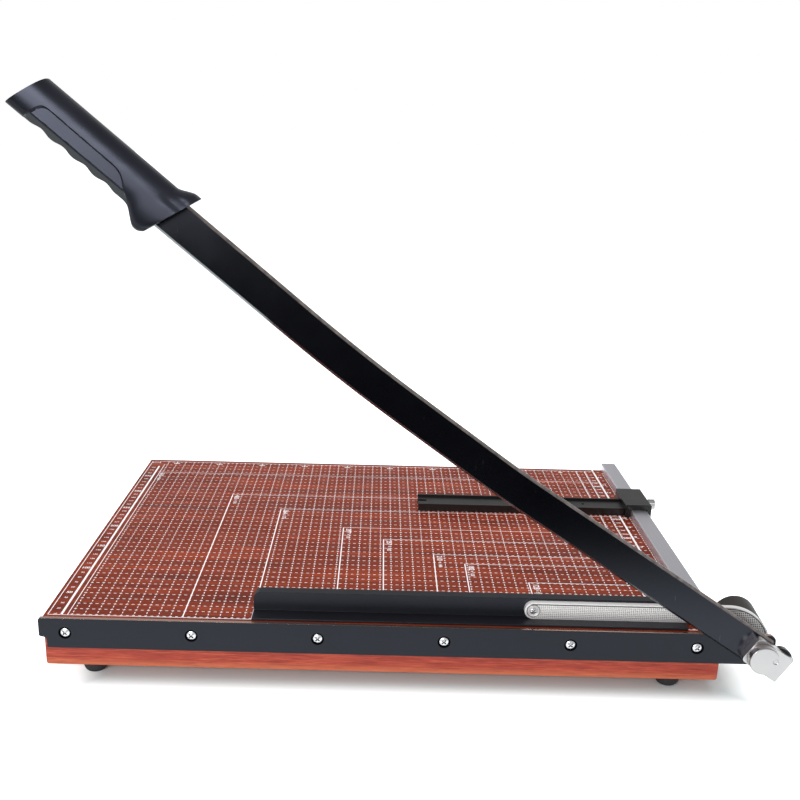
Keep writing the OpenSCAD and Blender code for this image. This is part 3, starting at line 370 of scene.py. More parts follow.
def screw_seats(shader):
    """1 in a ring round each screw of the fixed blade."""
    x, z = (shader.math("DIVIDE", shader.axis(name), MM) for name in ("X", "Z"))
    total = 0.0
    for middle in screw_middles("blade_screws"):
        off = shader.reach(shader.less(x, middle[0]), shader.less(z, middle[2]))
        total = shader.either(total, shader.less(1.0, shader.above(off, *SEAT_RING)))
    return total


def blade_paint():
    """Black enamel with ground steel on the top land of the fixed blade."""
    shader = Shader("fixed_blade_paint", BLACK_PAINT[1], BLADE_ROUGH[1], specular_tint=COOL)
    colour, sheen, peel = paint_layers(shader, BLACK_PAINT, BLADE_ROUGH)
    land = shader.above(shader.facing("Z"), *LAND_FACING)
    steel = shader.ramp(shader.noise(LAND_NOISE, shader.scaled(LAND_SCALE)), LAND_STOPS)
    seat = screw_seats(shader)
    shader.set(
        base_color=shader.mix(land, colour, steel),
        metallic=land,
        roughness=shader.line(seat, SEAT_ROUGHER, shader.line(land, LAND_SMOOTHER, sheen)),
        specular_ior_level=shader.line(seat, -BLADE_GLOSS, BLADE_GLOSS),
    )
    shader.bump((peel, PEEL_BUMP), edge=BLADE_EDGE)
    return shader.material


# Knife arm: roughness, scuffs along its bevel, and painted highlight where a face looks toward its upper
# edge
ARM_ROUGH = (0.13, 0.2)
ARM_BASE_ROUGH = 0.3
ARM_EDGE = 0.4
SCUFF_NOISE = (1, 3, 0.6, 0.3)
SCUFF_SCALE = (700, 700, 60)
SCUFF_TURN = (0, 0.62, 0)
SCUFF_STOPS = ((0.7, 0.0), (0.76, 1.0))
SCUFF_SHARE = 0.35
SCUFF_TONE = (0.16, 0.16, 0.17)
SCUFF_BUMP = (0.15, 0.03)
ARM_TOP = (0.57, 0.0, 0.82)
ARM_TOP_FACING = (0.86, 0.16)
HIGHLIGHT_NOISE = (160, 4, 0.65, 0)
HIGHLIGHT_STOPS = ((0.32, (0.09, 0.075, 0.07)), (0.68, (0.26, 0.22, 0.2)))
HIGHLIGHT_METAL = 0.4


def arm_paint():
    """Black enamel, scuffed along the bevel, with a painted highlight along the upper edge."""
    shader = Shader("knife_arm_paint", BLACK_PAINT[1], ARM_BASE_ROUGH, specular_tint=COOL)
    colour, sheen, peel = paint_layers(shader, BLACK_PAINT, ARM_ROUGH)
    scuffs = shader.noise(SCUFF_NOISE, shader.scaled(SCUFF_SCALE, turn=SCUFF_TURN))
    scuffs = shader.ramp(scuffs, SCUFF_STOPS)
    colour = shader.mix(shader.times(scuffs, SCUFF_SHARE), colour, SCUFF_TONE)
    # Painted highlight: faces that look toward the upper edge get a paler brownish, partly metallic tone
    wear_and_highlight = shader.above(shader.toward(ARM_TOP), *ARM_TOP_FACING)
    highlight_tone = shader.ramp(shader.noise(HIGHLIGHT_NOISE), HIGHLIGHT_STOPS)
    shader.set(
        base_color=shader.mix(wear_and_highlight, colour, highlight_tone),
        metallic=shader.times(wear_and_highlight, HIGHLIGHT_METAL),
        roughness=sheen,
    )
    shader.bump((peel, PEEL_BUMP), (scuffs, SCUFF_BUMP), edge=ARM_EDGE)
    return shader.material


RAIL = (0.8, 0.79, 0.82)
RAIL_ROUGH = 0.42
RAIL_NOISE = (1, 3, 0.6, 0)
RAIL_SCALE = (2600, 14, 2600)
RAIL_STOPS = ((0.3, (0.73, 0.73, 0.78)), (0.7, (0.85, 0.85, 0.9)))
RAIL_ROUGH_STOPS = ((0.3, 0.38), (0.7, 0.5))
RAIL_BUMP = (0.12, 0.03)
RAIL_EDGE = 0.4


def rail_aluminium():
    """Aluminium brushed along the rail."""
    shader = Shader("rail_aluminium", RAIL, RAIL_ROUGH, 1.0)
    lines = shader.noise(RAIL_NOISE, shader.scaled(RAIL_SCALE))
    shader.set(base_color=shader.ramp(lines, RAIL_STOPS), roughness=shader.ramp(lines, RAIL_ROUGH_STOPS))
    shader.bump((lines, RAIL_BUMP), edge=RAIL_EDGE)
    return shader.material


# Plating: tone and lowest and highest roughness of each kind, its haze, and the painted shade in its
# recesses within a reach in millimetres
PLATINGS = {
    "block_chrome": ((0.58, 0.555, 0.55), 0.24, 0.38),
    "thumb_chrome": ((0.76, 0.74, 0.74), 0.1, 0.22),
    "zinc_steel": ((0.86, 0.86, 0.88), 0.2, 0.34),
    "plain_steel": ((0.42, 0.42, 0.44), 0.3, 0.46),
}
HAZE_NOISE = (30, 4, 0.6, 0)
HAZE_STOPS = (0.35, 0.65)
HAZE_TINT = (0.93, 0.92, 0.93)
DENT_NOISE = (160, 2, 0.5, 0)
DENT_BUMP = (0.05, 0.05)
PLATE_EDGE = 0.4
RECESS_SHADE_REACH = 1.6
RECESS_SHADE_SAMPLES = 8
RECESS_SHADE_STOPS = ((0.3, 0.05), (0.75, 1.0))


def plated(name):
    """Bright plating with a soft haze of handling marks, and painted shade darkening its recesses."""
    tone, low, high = PLATINGS[name]
    shader = Shader(name, tone, low, 1.0)
    haze = shader.noise(HAZE_NOISE)
    warm = tuple(a * b for a, b in zip(tone, HAZE_TINT))
    # Painted shade: ambient occlusion darkens the colour in recesses
    reach = {"Distance": RECESS_SHADE_REACH * MM}
    node = shader.add("ShaderNodeAmbientOcclusion", reach, samples=RECESS_SHADE_SAMPLES, only_local=True)
    recess_shade = shader.ramp(node.outputs["AO"], RECESS_SHADE_STOPS)
    hazy = shader.ramp(haze, tuple(zip(HAZE_STOPS, (warm, tone))))
    shader.set(
        base_color=shader.mix(1.0, hazy, recess_shade, "MULTIPLY"),
        roughness=shader.line(haze, high - low, low),
    )
    shader.bump((shader.noise(DENT_NOISE), DENT_BUMP), edge=PLATE_EDGE)
    return shader.material


# Press lever, in millimetres: pitch of its dots, half its width, its curl's middle from the pivot and its
# radius, where its neck starts, rim, painted shade under the rim, ring of painted shade round the screw,
# and how soft edges are
DOT_PITCH = 1.6
DOT_STOPS = ((0.217, 1.0), (0.465, 0.0))
LEVER_HALF = 7.2
LEVER_CURL = (-19.14, -5.8, 35.0)
LEVER_NECK = -29.8
RIM_WIDTH = 1.0
SHADE_WIDTH = 0.9
SCREW_RING = (4.7, 5.6)
SOFT_EDGE = 0.3
CURL_FADE = 10
LEVER_TONE = (0.92, 0.88, 0.87)
# Painted shade of the pressed dots, far darker on the curl
DOT_SHADE_TONE = (0.52, 0.5, 0.49)
CURL_DOT_SHADE_TONE = (0.012, 0.011, 0.011)
RIM_TONE = (0.88, 0.86, 0.85)
SHADE_TONE = (0.1, 0.095, 0.09)
LEVER_METAL = 0.55
LEVER_BASE_ROUGH = 0.4
LEVER_ROUGH = (0.32, 0.46)
LEVER_FACING = (0.8, 0.1)
DOT_BUMP = (0.6, 0.25)
LEVER_EDGE = 0.3


def lever_depths(shader, x, z):
    """How far a point lies inside the lever's outline, and inside the outer edge of its curl."""
    low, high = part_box("press_lever")
    end = shader.math("MINIMUM", shader.less(x, low.x / MM + LEVER_HALF), 0.0)
    straight = shader.less(LEVER_HALF, shader.reach(end, shader.less(z, high.z / MM - LEVER_HALF)))
    past_neck = shader.above(x, PIVOT[0] + LEVER_NECK, SOFT_EDGE)
    straight = shader.line(past_neck, LEVER_CURL[2], straight)
    bend = shader.either(shader.less(x, PIVOT[0] + LEVER_CURL[0]), 0.0)
    curl = shader.less(LEVER_CURL[2], shader.reach(bend, shader.less(z, PIVOT[2] + LEVER_CURL[1])))
    return shader.math("MINIMUM", straight, curl), curl


def dotted_chrome():
    """Bright plating with a close pattern of pressed dots inside a plain rim, with painted shade in the
    dots, under the rim and round the screw.
    """
    shader = Shader("dotted_chrome", LEVER_TONE, LEVER_BASE_ROUGH, LEVER_METAL)
    x, z = (shader.math("DIVIDE", shader.axis(name), MM) for name in ("X", "Z"))
    depth, curl = lever_depths(shader, x, z)
    inside = shader.above(depth, RIM_WIDTH, SOFT_EDGE)
    face = shader.above(shader.times(shader.facing("Y"), -1.0), *LEVER_FACING)
    floor = shader.times(face, inside)
    middle = screw_middles("lever_screw")[0]
    off_screw = shader.reach(shader.less(x, middle[0]), shader.less(z, middle[2]))
    past_ring = shader.above(off_screw, SCREW_RING[1], SOFT_EDGE)
    screw_shade_ring = shader.times(shader.less(1.0, past_ring), shader.above(off_screw, SCREW_RING[0], SOFT_EDGE))
    cells = [shader.math("FRACT", shader.math("DIVIDE", value, DOT_PITCH)) for value in (x, z)]
    dots = shader.ramp(shader.reach(*(shader.less(cell, 0.5) for cell in cells)), DOT_STOPS)
    dots = shader.times(shader.times(dots, floor), past_ring)
    # Painted shade under the top of the rim and in a ring round the screw
    under_rim = shader.less(1.0, shader.above(curl, RIM_WIDTH + SHADE_WIDTH, SOFT_EDGE))
    painted_shade = shader.times(shader.either(under_rim, screw_shade_ring), floor)
    on_curl = shader.above(x, PIVOT[0] + LEVER_CURL[0], CURL_FADE)
    tone = shader.mix(dots, LEVER_TONE, shader.mix(on_curl, DOT_SHADE_TONE, CURL_DOT_SHADE_TONE))
    tone = shader.mix(painted_shade, shader.mix(inside, RIM_TONE, tone), SHADE_TONE)
    low, high = LEVER_ROUGH
    shader.set(base_color=tone, roughness=shader.line(shader.noise(HAZE_NOISE), high - low, low))
    shader.bump((dots, DOT_BUMP), edge=LEVER_EDGE)
    return shader.material


# Moulded grip: tones, fine grain, clouding, and less gloss where a face looks the way of its underside
HANDLE = (0.008, 0.008, 0.011)
HANDLE_TINT = (0.72, 0.77, 1.0, 1)
HANDLE_BASE_ROUGH = 0.36
HANDLE_GRAIN = (1500, 2, 0.6, 0)
HANDLE_CLOUD = (25, 3, 0.5, 0)
HANDLE_STOPS = ((0.3, (0.006, 0.006, 0.0085)), (0.7, (0.010, 0.010, 0.0135)))
HANDLE_ROUGH = (0.1, 0.3)
HANDLE_BUMP = (0.12, 0.04)
GRIP_UNDER = (-0.64, 0.0, -0.77)
GRIP_UNDER_FACING = (0.5, 0.3)
HANDLE_GLOSS = (-0.48, 0.57)


def moulded_handle():
    shader = Shader("handle_plastic", HANDLE, HANDLE_BASE_ROUGH, specular_tint=HANDLE_TINT)
    grain = shader.noise(HANDLE_GRAIN)
    cloud = shader.noise(HANDLE_CLOUD)
    under = shader.above(shader.toward(GRIP_UNDER), *GRIP_UNDER_FACING)
    shader.set(
        base_color=shader.ramp(cloud, HANDLE_STOPS),
        roughness=shader.line(cloud, *HANDLE_ROUGH),
        specular_ior_level=shader.line(under, *HANDLE_GLOSS),
    )
    shader.bump((grain, HANDLE_BUMP))
    return shader.material


COVER = (0.026, 0.022, 0.021)
COVER_BASE_ROUGH = 0.5
COVER_GRAIN = (900, 2, 0.6, 0)
COVER_CLOUD = (60, 3, 0.5, 0)
COVER_STOPS = ((0.3, (0.02, 0.017, 0.016)), (0.7, (0.034, 0.029, 0.027)))
COVER_ROUGH = (0.12, 0.42)
COVER_BUMP = (0.15, 0.04)


def cover_plastic():
    shader = Shader("cover_black", COVER, COVER_BASE_ROUGH)
    grain = shader.noise(COVER_GRAIN)
    tone = shader.ramp(shader.noise(COVER_CLOUD), COVER_STOPS)
    shader.set(base_color=tone, roughness=shader.line(grain, *COVER_ROUGH))
    shader.bump((grain, COVER_BUMP))
    return shader.material


FOOT = (0.016, 0.016, 0.018)
FOOT_ROUGH = 0.72
FOOT_GRAIN = (700, 3, 0.65, 0)
FOOT_STOPS = ((0.3, (0.01, 0.01, 0.012)), (0.7, (0.026, 0.026, 0.028)))
FOOT_BUMP = (0.3, 0.06)


def foot_rubber():
    shader = Shader("foot_rubber", FOOT, FOOT_ROUGH)
    grain = shader.noise(FOOT_GRAIN)
    shader.set(base_color=shader.ramp(grain, FOOT_STOPS))
    shader.bump((grain, FOOT_BUMP))
    return shader.material


def dress_nodes():
    """Gives every node its material, and the handle its detailed grip."""
    handle = moulded_handle()
    dress = (
        (board_wood(), ("baseboard",)),
        (blade_paint(), ("fixed_blade",)),
        (arm_paint(), ("knife_arm",)),
        (enamel(**PRESS_PAINT), ("press_bar",)),
        (enamel(**STOP_PAINT), ("stop_block", "guide_bar")),
        (rail_aluminium(), ("ruler_rail",)),
        (dotted_chrome(), ("press_lever",)),
        (plated("block_chrome"), ("pivot_block",)),
        (plated("thumb_chrome"), ("thumb_screw",)),
        (handle, ("handle",)),
        (cover_plastic(), ("spring_cover",)),
        (foot_rubber(), ("feet",)),
        (plated("zinc_steel"), (
            "foot_screws", "blade_screws", "ruler_screws", "rear_washer", "pivot_nut", "block_screws",
            "lever_screw", "lever_nut", "guide_screws",
        )),
        (plated("plain_steel"), (
            "pivot_bolt", "pivot_spacer", "spring_arbor", "spring_washer", "torsion_spring",
        )),
    )
    for material, names in dress:
        for name in names:
            NODES[name].data.materials.clear()
            NODES[name].data.materials.append(material)
    add_grip(handle)


# Edges that turn by less are shaded smooth, and points that lie closer, in millimetres, are joined
SMOOTH_ANGLE = math.radians(32)
WELD_REACH = 0.002


def split_edges(piece, angle):
    """Keeps the edges sharp that turn by more than that."""
    split = piece.modifiers.new("split", "EDGE_SPLIT")
    split.split_angle = angle
    split.use_edge_sharp = False


def smooth_nodes():
    """Smooth shading over shallow edges, with the sharp ones kept."""
    for node in NODES.values():
        node.data.shade_smooth()
        weld = node.modifiers.new("weld", "WELD")
        weld.merge_threshold = WELD_REACH * MM
        split_edges(node, SMOOTH_ANGLE)
        normals = node.modifiers.new("normals", "WEIGHTED_NORMAL")
        normals.mode = "FACE_AREA"


# The grip's frame: its place on the arm and its turn, in millimetres and degrees, as in the CAD
GRIP_AT = (567.381, 25.854)
GRIP_TURN = 6.3
GRIP_LENGTH = 125.35
GRIP_DEPTH = 25.0
# Height above and depth below the arm's line: at the grip, at the guard, and where and how fast they change
GRIP_UP, GUARD_UP, GUARD_UP_FROM, GUARD_UP_LENGTH = 19.8, 25.0, 4.0, 12.0
GRIP_DOWN, GUARD_DOWN, GUARD_DOWN_FROM, GUARD_DOWN_LENGTH = 11.0, 21.4, 4.6, 23.0
# The guard's lower corner: how far it is rounded up and along, and how sharply
GUARD_ROUND = (2.6, 4.2, 2.2)
GRIP_LEAN = math.tan(math.radians(21.2))
GROOVES = 4
GROOVE_PITCH = 18.3
GROOVE_FIRST = 42.8
GROOVE_DEPTH = 1.8
SQUARENESS = 2.7
# The recess: depth, ends with their slopes, top edge with its rise, rounding, wall, and how it turns under
RECESS_DEPTH = 1.15
RECESS_NEAR, NEAR_SLOPE = 36.4, 0.707
RECESS_FAR, RECESS_FAR_LEAN, FAR_SLOPE = 110.2, 0.42, 0.92
RECESS_TOP = (4.9, 0.0125)
RECESS_ROUND = 5.0
END_ROUND = 2.0
RECESS_WALL = 0.75
UNDER_FROM, UNDER_SLOPE, UNDER_ROUND = -4.0, 1.35, 1.2
# A shallow fold where the guard meets the upper flank: depth, then low end, softness, high end, softness
GUARD_FOLD = 0.9
FOLD_ALONG = (-12, 8, 14, 9)
FOLD_UP = (7, 5, 21, 5)
# The far end's dome: its height, and the sizes of its rings
END_DOME = 1.2
END_SIZES = (0.985, 0.94, 0.86, 0.72, 0.52, 0.3)
# Rings along the grip and points round it, close together on the front
RING_STEP = 0.6
FRONT_POINTS = 48
LEVEL_POINTS = 96
BACK_POINTS = 28
# Slots for the arm and its tang: X from and to, depth from and to, height from and to
ARM_SLOTS = ((-26, 27, -5, 5.2, -19.2, 19.2), (0, 104, 1.7, 5.2, -2.8, 11.6))
GRIP_SPLIT = math.radians(55)


def ease(t):
    t = min(1.0, max(0.0, t))
    return t * t * (3 - 2 * t)


def window(value, low, low_soft, high, high_soft):
    """1 between two soft ends."""
    return ease((value - low) / low_soft) * ease((high - value) / high_soft)


def soft_min(a, b, reach):
    """The smaller of two values, rounded off where they come close."""
    h = max(reach - abs(a - b), 0.0) / reach
    return min(a, b) - h * h * reach / 4


def grip_edges(x):
    """The grip's top and bottom at a distance from the guard."""
    top = GUARD_UP + (GRIP_UP - GUARD_UP) * ease((x - GUARD_UP_FROM) / GUARD_UP_LENGTH)
    bottom = -GUARD_DOWN + (GUARD_DOWN - GRIP_DOWN) * ease((x - GUARD_DOWN_FROM) / GUARD_DOWN_LENGTH)
    rise, length, power = GUARD_ROUND
    bottom += rise * max(0.0, 1 - x / length) ** power
    start = GROOVE_FIRST - GROOVE_PITCH / 2
    if start < x < start + GROOVES * GROOVE_PITCH:
        bottom += GROOVE_DEPTH * (1 - math.cos(2 * math.pi * (x - start) / GROOVE_PITCH)) / 2
    return top, bottom


def recess_share(x, h):
    """1 inside the recess and 0 outside, over the width of its wall."""
    near = (x - RECESS_NEAR - h) * NEAR_SLOPE
    far = (RECESS_FAR - RECESS_FAR_LEAN * h - x) * FAR_SLOPE
    under_top = RECESS_TOP[0] + RECESS_TOP[1] * x - h
    inside = soft_min(soft_min(near, far, END_ROUND), under_top, RECESS_ROUND)
    return ease(inside / RECESS_WALL + 0.5)


def rounded(value):
    """A sine or cosine drawn out toward the corners of a rounded square."""
    return math.copysign(abs(value) ** (2 / SQUARENESS), value)


def grip_point(x, angle, size, bulge):
    """A point of the grip's skin: X from the guard, depth in front of the arm's back, height."""
    top, bottom = grip_edges(x)
    side = rounded(math.cos(angle))
    h = (top + bottom) / 2 + (top - bottom) / 2 * rounded(math.sin(angle)) * size
    depth = GRIP_DEPTH / 2 * (1 + side * size)
    along = x + bulge - h * GRIP_LEAN
    if side > 0:
        flat = GRIP_DEPTH - RECESS_DEPTH
        floor = soft_min(flat, flat - (UNDER_FROM - h) * UNDER_SLOPE, UNDER_ROUND)
        cut = max(depth - floor, 0.0) * recess_share(along, h)
        depth = max(depth - cut, GRIP_DEPTH / 2)
        depth -= GUARD_FOLD * window(along, *FOLD_ALONG) * window(h, *FOLD_UP)
    return along, depth, h


def ring_angles():
    """Angles round the grip, on the front at even turns and at even heights too."""
    even = [math.pi * (k / FRONT_POINTS - 0.5) for k in range(FRONT_POINTS)]
    heights = [2 * k / LEVEL_POINTS - 1 for k in range(1, LEVEL_POINTS)]
    level = [math.asin(math.copysign(abs(t) ** (SQUARENESS / 2), t)) for t in heights]
    return sorted(set(even + level)) + [math.pi * (k / BACK_POINTS + 0.5) for k in range(BACK_POINTS)]


def grip_skin():
    """Vertices and faces of the grip, ring by ring from the guard to the domed far end."""
    count = round(GRIP_LENGTH / RING_STEP)
    rings = [(GRIP_LENGTH * i / count, 0.0, 1.0) for i in range(count + 1)]
    rings += [(GRIP_LENGTH, END_DOME * (1 - size * size), size) for size in END_SIZES]
    angles = ring_angles()
    sides = len(angles)
    vertices = []
    for x, bulge, size in rings:
        for angle in angles:
            along, depth, h = grip_point(x, angle, size, bulge)
            vertices.append((-along, -depth, h))
    faces = []
    for j in range(len(rings) - 1):
        for k in range(sides):
            n = (k + 1) % sides
            faces.append((j * sides + k, (j + 1) * sides + k, (j + 1) * sides + n, j * sides + n))
    faces.append(tuple(range(sides))[::-1])
    faces.append(tuple(range((len(rings) - 1) * sides, len(rings) * sides)))
    return vertices, faces


def closed_piece(name, vertices, faces):
    """A new object of a closed skin, its faces turned outward."""
    mesh = bpy.data.meshes.new(name)
    mesh.from_pydata(vertices, [], faces)
    shape = bmesh.new()
    shape.from_mesh(mesh)
    bmesh.ops.recalc_face_normals(shape, faces=shape.faces)
    shape.to_mesh(mesh)
    shape.free()
    return show(name, mesh)


def slot_piece(name, x0, x1, d0, d1, h0, h1):
    """A block that cuts a slot into the grip."""
    corners = [(-x, -d, h) for x in (x0, x1) for d in (d0, d1) for h in (h0, h1)]
    faces = [(0, 1, 3, 2), (4, 6, 7, 5), (0, 4, 5, 1), (2, 3, 7, 6), (0, 2, 6, 4), (1, 5, 7, 3)]
    return closed_piece(name, corners, faces)


def add_grip(material):
    """The moulded grip in fine detail, in place of the CAD's plainer one."""
    grip = closed_piece("grip", *grip_skin())
    tools = [slot_piece("slot_%d" % k, *slot) for k, slot in enumerate(ARM_SLOTS)]
    for tool in tools:
        cut = grip.modifiers.new(tool.name, "BOOLEAN")
        cut.operation = "DIFFERENCE"
        cut.object = tool
        cut.solver = "EXACT"
    bpy.context.view_layer.update()
    made = bpy.data.meshes.new_from_object(grip.evaluated_get(bpy.context.evaluated_depsgraph_get()))
    grip.modifiers.clear()
    grip.data = made
    for tool in tools:
        bpy.data.objects.remove(tool)
    turn = Matrix.Rotation(math.radians(ARM_TURN), 4, "Y")
    tilt = Matrix.Rotation(math.radians(GRIP_TURN), 4, "Y")
    on_arm = Matrix.Translation((-GRIP_AT[0], 0, GRIP_AT[1])) @ tilt
    made.transform(Matrix.Scale(MM, 4) @ Matrix.Translation(PIVOT) @ turn @ on_arm)
    made.materials.clear()
    made.materials.append(material)
    made.shade_smooth()
    split_edges(grip, GRIP_SPLIT)
    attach(grip, "arm")
    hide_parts("handle")


# The table's print, in millimetres. Heights above the table: dashed grid, lines over it, numbers
GRID_LIFT = 0.02
LINE_LIFT = 0.03
NUMBER_LIFT = 0.04
# Grid: pitch of its lines and of their dashes, the dashes' lengths across and along, and its ends
GRID_STEP = 10
DASH_STEP = 5
DASH_ACROSS = 2.5
DASH_ALONG = 2.6
GRID_LEFT = -510
GRID_BACK = 400
GRID_FRONT = 10
# Line widths
FINE = 0.72
THIN = 0.7
SHEET_LINE = 1.0
THICK = 1.9
# Frame and the long lines beside the scales
FRAME_LEFT = -529.3
FRAME_FRONT = 8.7
FRAME_BACK = 402
THICK_LEFT, THICK_LEFT_BACK = -518.4, 385
THIN_LEFT, THIN_LEFT_BACK = -513.4, 392
THICK_RIGHT, THICK_RIGHT_BACK = -10.5, 407.6
RIGHT_LINES = (-21, -31)
# Dashed line beside the ruler: its place, half a dash, and its first and last dash
RULER_LINE = -0.9
RULER_HALF_DASH = 1.6
RULER_DASHES = range(2, 80)
# Sheet sizes, length along the cut by depth, and their labels: how far in, height, boldness and gap
SHEETS = ((515, 364), (420, 297), (364, 257), (297, 210), (257, 182), (210, 148), (182, 128), (128, 91))
SHEET_CLEAR = 10
LABEL_IN = 5.2
LABEL_DOWN = 3
LABEL_SIZE = (5, 0.12)
DEPTH_SIZE = (3.4, 0.06)
DEPTH_GAP = 2.5
# Numbers of the scales: height and boldness
BOLD_SIZE = (3.6, 0.1)
SMALL_SIZE = (2.2, 0.05)
MEDIUM_SIZE = (3.4, 0.1)
BOLD_STEP = 50
SIDE_NUMBERS = range(10, 381, 10)
BACK_NUMBERS = range(10, 521, 10)
BACK_TICK = 3
BACK_NUMBERS_IN = 6
INCH = 25.4
INCHES = range(1, 16)
INCH_TICK = (1, 2.6)
INCH_NUMBERS_LEFT = 1
# A small key beside the left scale: its ends, its place and half its height
KEY_ENDS = (-528, -519.5)
KEY_AT = 397
KEY_HALF = 1.6
# Height of a digit as a share of the font's size
DIGIT_SHARE = 0.7


class Print:
    """Flat shapes on the table, gathered into one mesh."""

    def __init__(self, name, lift):
        self.name = name
        self.lift = lift
        self.vertices = []
        self.faces = []

    def bar(self, x0, y0, x1, y1):
        start = len(self.vertices)
        self.vertices += [place(x, y, self.lift) for x, y in ((x0, y0), (x1, y0), (x1, y1), (x0, y1))]
        self.faces.append(range(start, start + 4))

    def across(self, x0, x1, y, width):
        self.bar(x0, y - width / 2, x1, y + width / 2)

    def along(self, x, y0, y1, width):
        self.bar(x - width / 2, y0, x + width / 2, y1)

    def text(self, words, x, y, size, turn=0.0, align="CENTER"):
        """Numbers of a height and boldness, set from their middle line at x, y; gives back their width."""
        curve = bpy.data.curves.new("words", "FONT")
        curve.body = words
        curve.size = size[0] / DIGIT_SHARE
        curve.offset = size[1]
        curve.align_x = align
        curve.align_y = "CENTER"
        made = show("words", curve)
        bpy.context.view_layer.update()
        shown = made.evaluated_get(bpy.context.evaluated_depsgraph_get())
        mesh = shown.to_mesh()
        c, s = math.cos(turn), math.sin(turn)
        start = len(self.vertices)
        points = [(v.co.x, v.co.y) for v in mesh.vertices]
        self.vertices += [place(x + a * c - b * s, y + a * s + b * c, self.lift) for a, b in points]
        self.faces += [[start + i for i in face.vertices] for face in mesh.polygons]
        shown.to_mesh_clear()
        bpy.data.objects.remove(made)
        bpy.data.curves.remove(curve)
        return max(a for a, b in points) - min(a for a, b in points)

    def finish(self, material):
        mesh = bpy.data.meshes.new(self.name)
        mesh.from_pydata([tuple(v) for v in self.vertices], [], [list(f) for f in self.faces])
        mesh.validate()
        mesh.materials.append(material)
        made = show(self.name, mesh)
        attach(made, "base")


def print_grid(lines):
    for x in range(GRID_LEFT, 0, GRID_STEP):
        for middle in range(GRID_FRONT, GRID_BACK + 1, DASH_STEP):
            lines.along(x, middle - DASH_ALONG / 2, middle + DASH_ALONG / 2, FINE)
    for y in range(GRID_FRONT, GRID_BACK + 1, GRID_STEP):
        for middle in range(GRID_LEFT, 0, DASH_STEP):
            lines.across(middle - DASH_ACROSS / 2, middle + DASH_ACROSS / 2, y, FINE)


def print_frame(lines):
    lines.along(FRAME_LEFT, FRAME_FRONT, FRAME_BACK, THIN)
    lines.across(FRAME_LEFT, 0, FRAME_FRONT, THIN)
    lines.across(FRAME_LEFT, THICK_RIGHT, FRAME_BACK, THIN)
    lines.along(THICK_LEFT, FRAME_FRONT, THICK_LEFT_BACK, THICK)
    lines.along(THIN_LEFT, FRAME_FRONT, THIN_LEFT_BACK, THIN)
    lines.along(THICK_RIGHT, FRAME_FRONT, THICK_RIGHT_BACK, THICK)
    for x in RIGHT_LINES:
        lines.along(x, FRAME_FRONT, FRAME_BACK, THIN)
    for k in RULER_DASHES:
        lines.along(RULER_LINE, k * DASH_STEP - RULER_HALF_DASH, k * DASH_STEP + RULER_HALF_DASH, THIN)


def print_sheets(lines, numbers):
    """Sheet outlines with their sizes; the longest one's end falls beside the left scale's lines."""
    for length, depth in SHEETS:
        if length < -THICK_LEFT - SHEET_CLEAR:
            lines.along(-length, FRAME_FRONT, depth, SHEET_LINE)
        lines.across(-length, THICK_RIGHT, depth, THIN)
        x, y = LABEL_IN - length, depth - LABEL_DOWN
        width = numbers.text(str(length), x, y, LABEL_SIZE, -math.pi / 2, "LEFT")
        numbers.text("× %d" % depth, x, y - DEPTH_GAP - width, DEPTH_SIZE, -math.pi / 2, "LEFT")


def print_scales(lines, numbers):
    for y in SIDE_NUMBERS:
        size = SMALL_SIZE if y % BOLD_STEP else BOLD_SIZE
        numbers.text(str(y), (FRAME_LEFT + THICK_LEFT) / 2, y, size)
        numbers.text(str(y), (THICK_RIGHT + RIGHT_LINES[0]) / 2, y, size)
    for k in INCHES:
        numbers.text(str(k), (THICK_RIGHT + RULER_LINE) / 2 - INCH_NUMBERS_LEFT, k * INCH, MEDIUM_SIZE)
        lines.across(THICK_RIGHT + INCH_TICK[0], THICK_RIGHT + INCH_TICK[1], k * INCH, FINE)
    for x in BACK_NUMBERS:
        lines.along(-x, FRAME_BACK - BACK_TICK, FRAME_BACK, FINE)
        if x % BOLD_STEP == 0:
            numbers.text(str(x), -x, FRAME_BACK - BACK_NUMBERS_IN, MEDIUM_SIZE)
    lines.across(*KEY_ENDS, KEY_AT, FINE)
    for x in KEY_ENDS:
        lines.along(x, KEY_AT - KEY_HALF, KEY_AT + KEY_HALF, FINE)


def print_table():
    ink = print_ink()
    lines, numbers = Print("table_print", GRID_LIFT), Print("table_numbers", NUMBER_LIFT)
    print_grid(lines)
    lines.lift = LINE_LIFT
    print_frame(lines)
    print_sheets(lines, numbers)
    print_scales(lines, numbers)
    lines.finish(ink)
    numbers.finish(ink)


# Studio. Floor: half its width and how far it lies under the feet, in metres, its tone and its glow
FLOOR_REACH = 14
FLOOR_DROP = 0.0004
FLOOR_TONE = (0.84, 0.92, 0.93)
FLOOR_GLOW = 0.75
# Distance past the board's edge over which the floor's glow rises, in metres
FLOOR_FADE = (-0.021, 0.012)
# Share of the floor's glow that gloss sees
GLOSS_GLOW_SHARE = 0.44
WORLD_LIGHT = 0.65
# What gloss sees of the studio: elevation share of a quarter turn, and strength
STUDIO_GLOSS = ((0.0, 0.85), (0.12, 0.62), (0.3, 0.42), (0.6, 0.3), (1.0, 0.4))
# A dark cloth on the floor in front, seen only in gloss: where it ends and starts, in metres
CLOTH_NEAR = (-0.56, -0.3)
CLOTH_FAR = (-8.0, -4.0)
CLOTH_TONE = 0.005
# Lamps: name, place, what they look at, size, power, and whether gloss shows them
LAMPS = (
    ("front", (-0.7, -1.75, 0.71), (-0.25, -0.2, 0.44), (0.8, 0.76), 15, True),
    ("top", (-0.25, 0.3, 1.75), (0, 0, 0), (1.3, 1.1), 22, False),
)


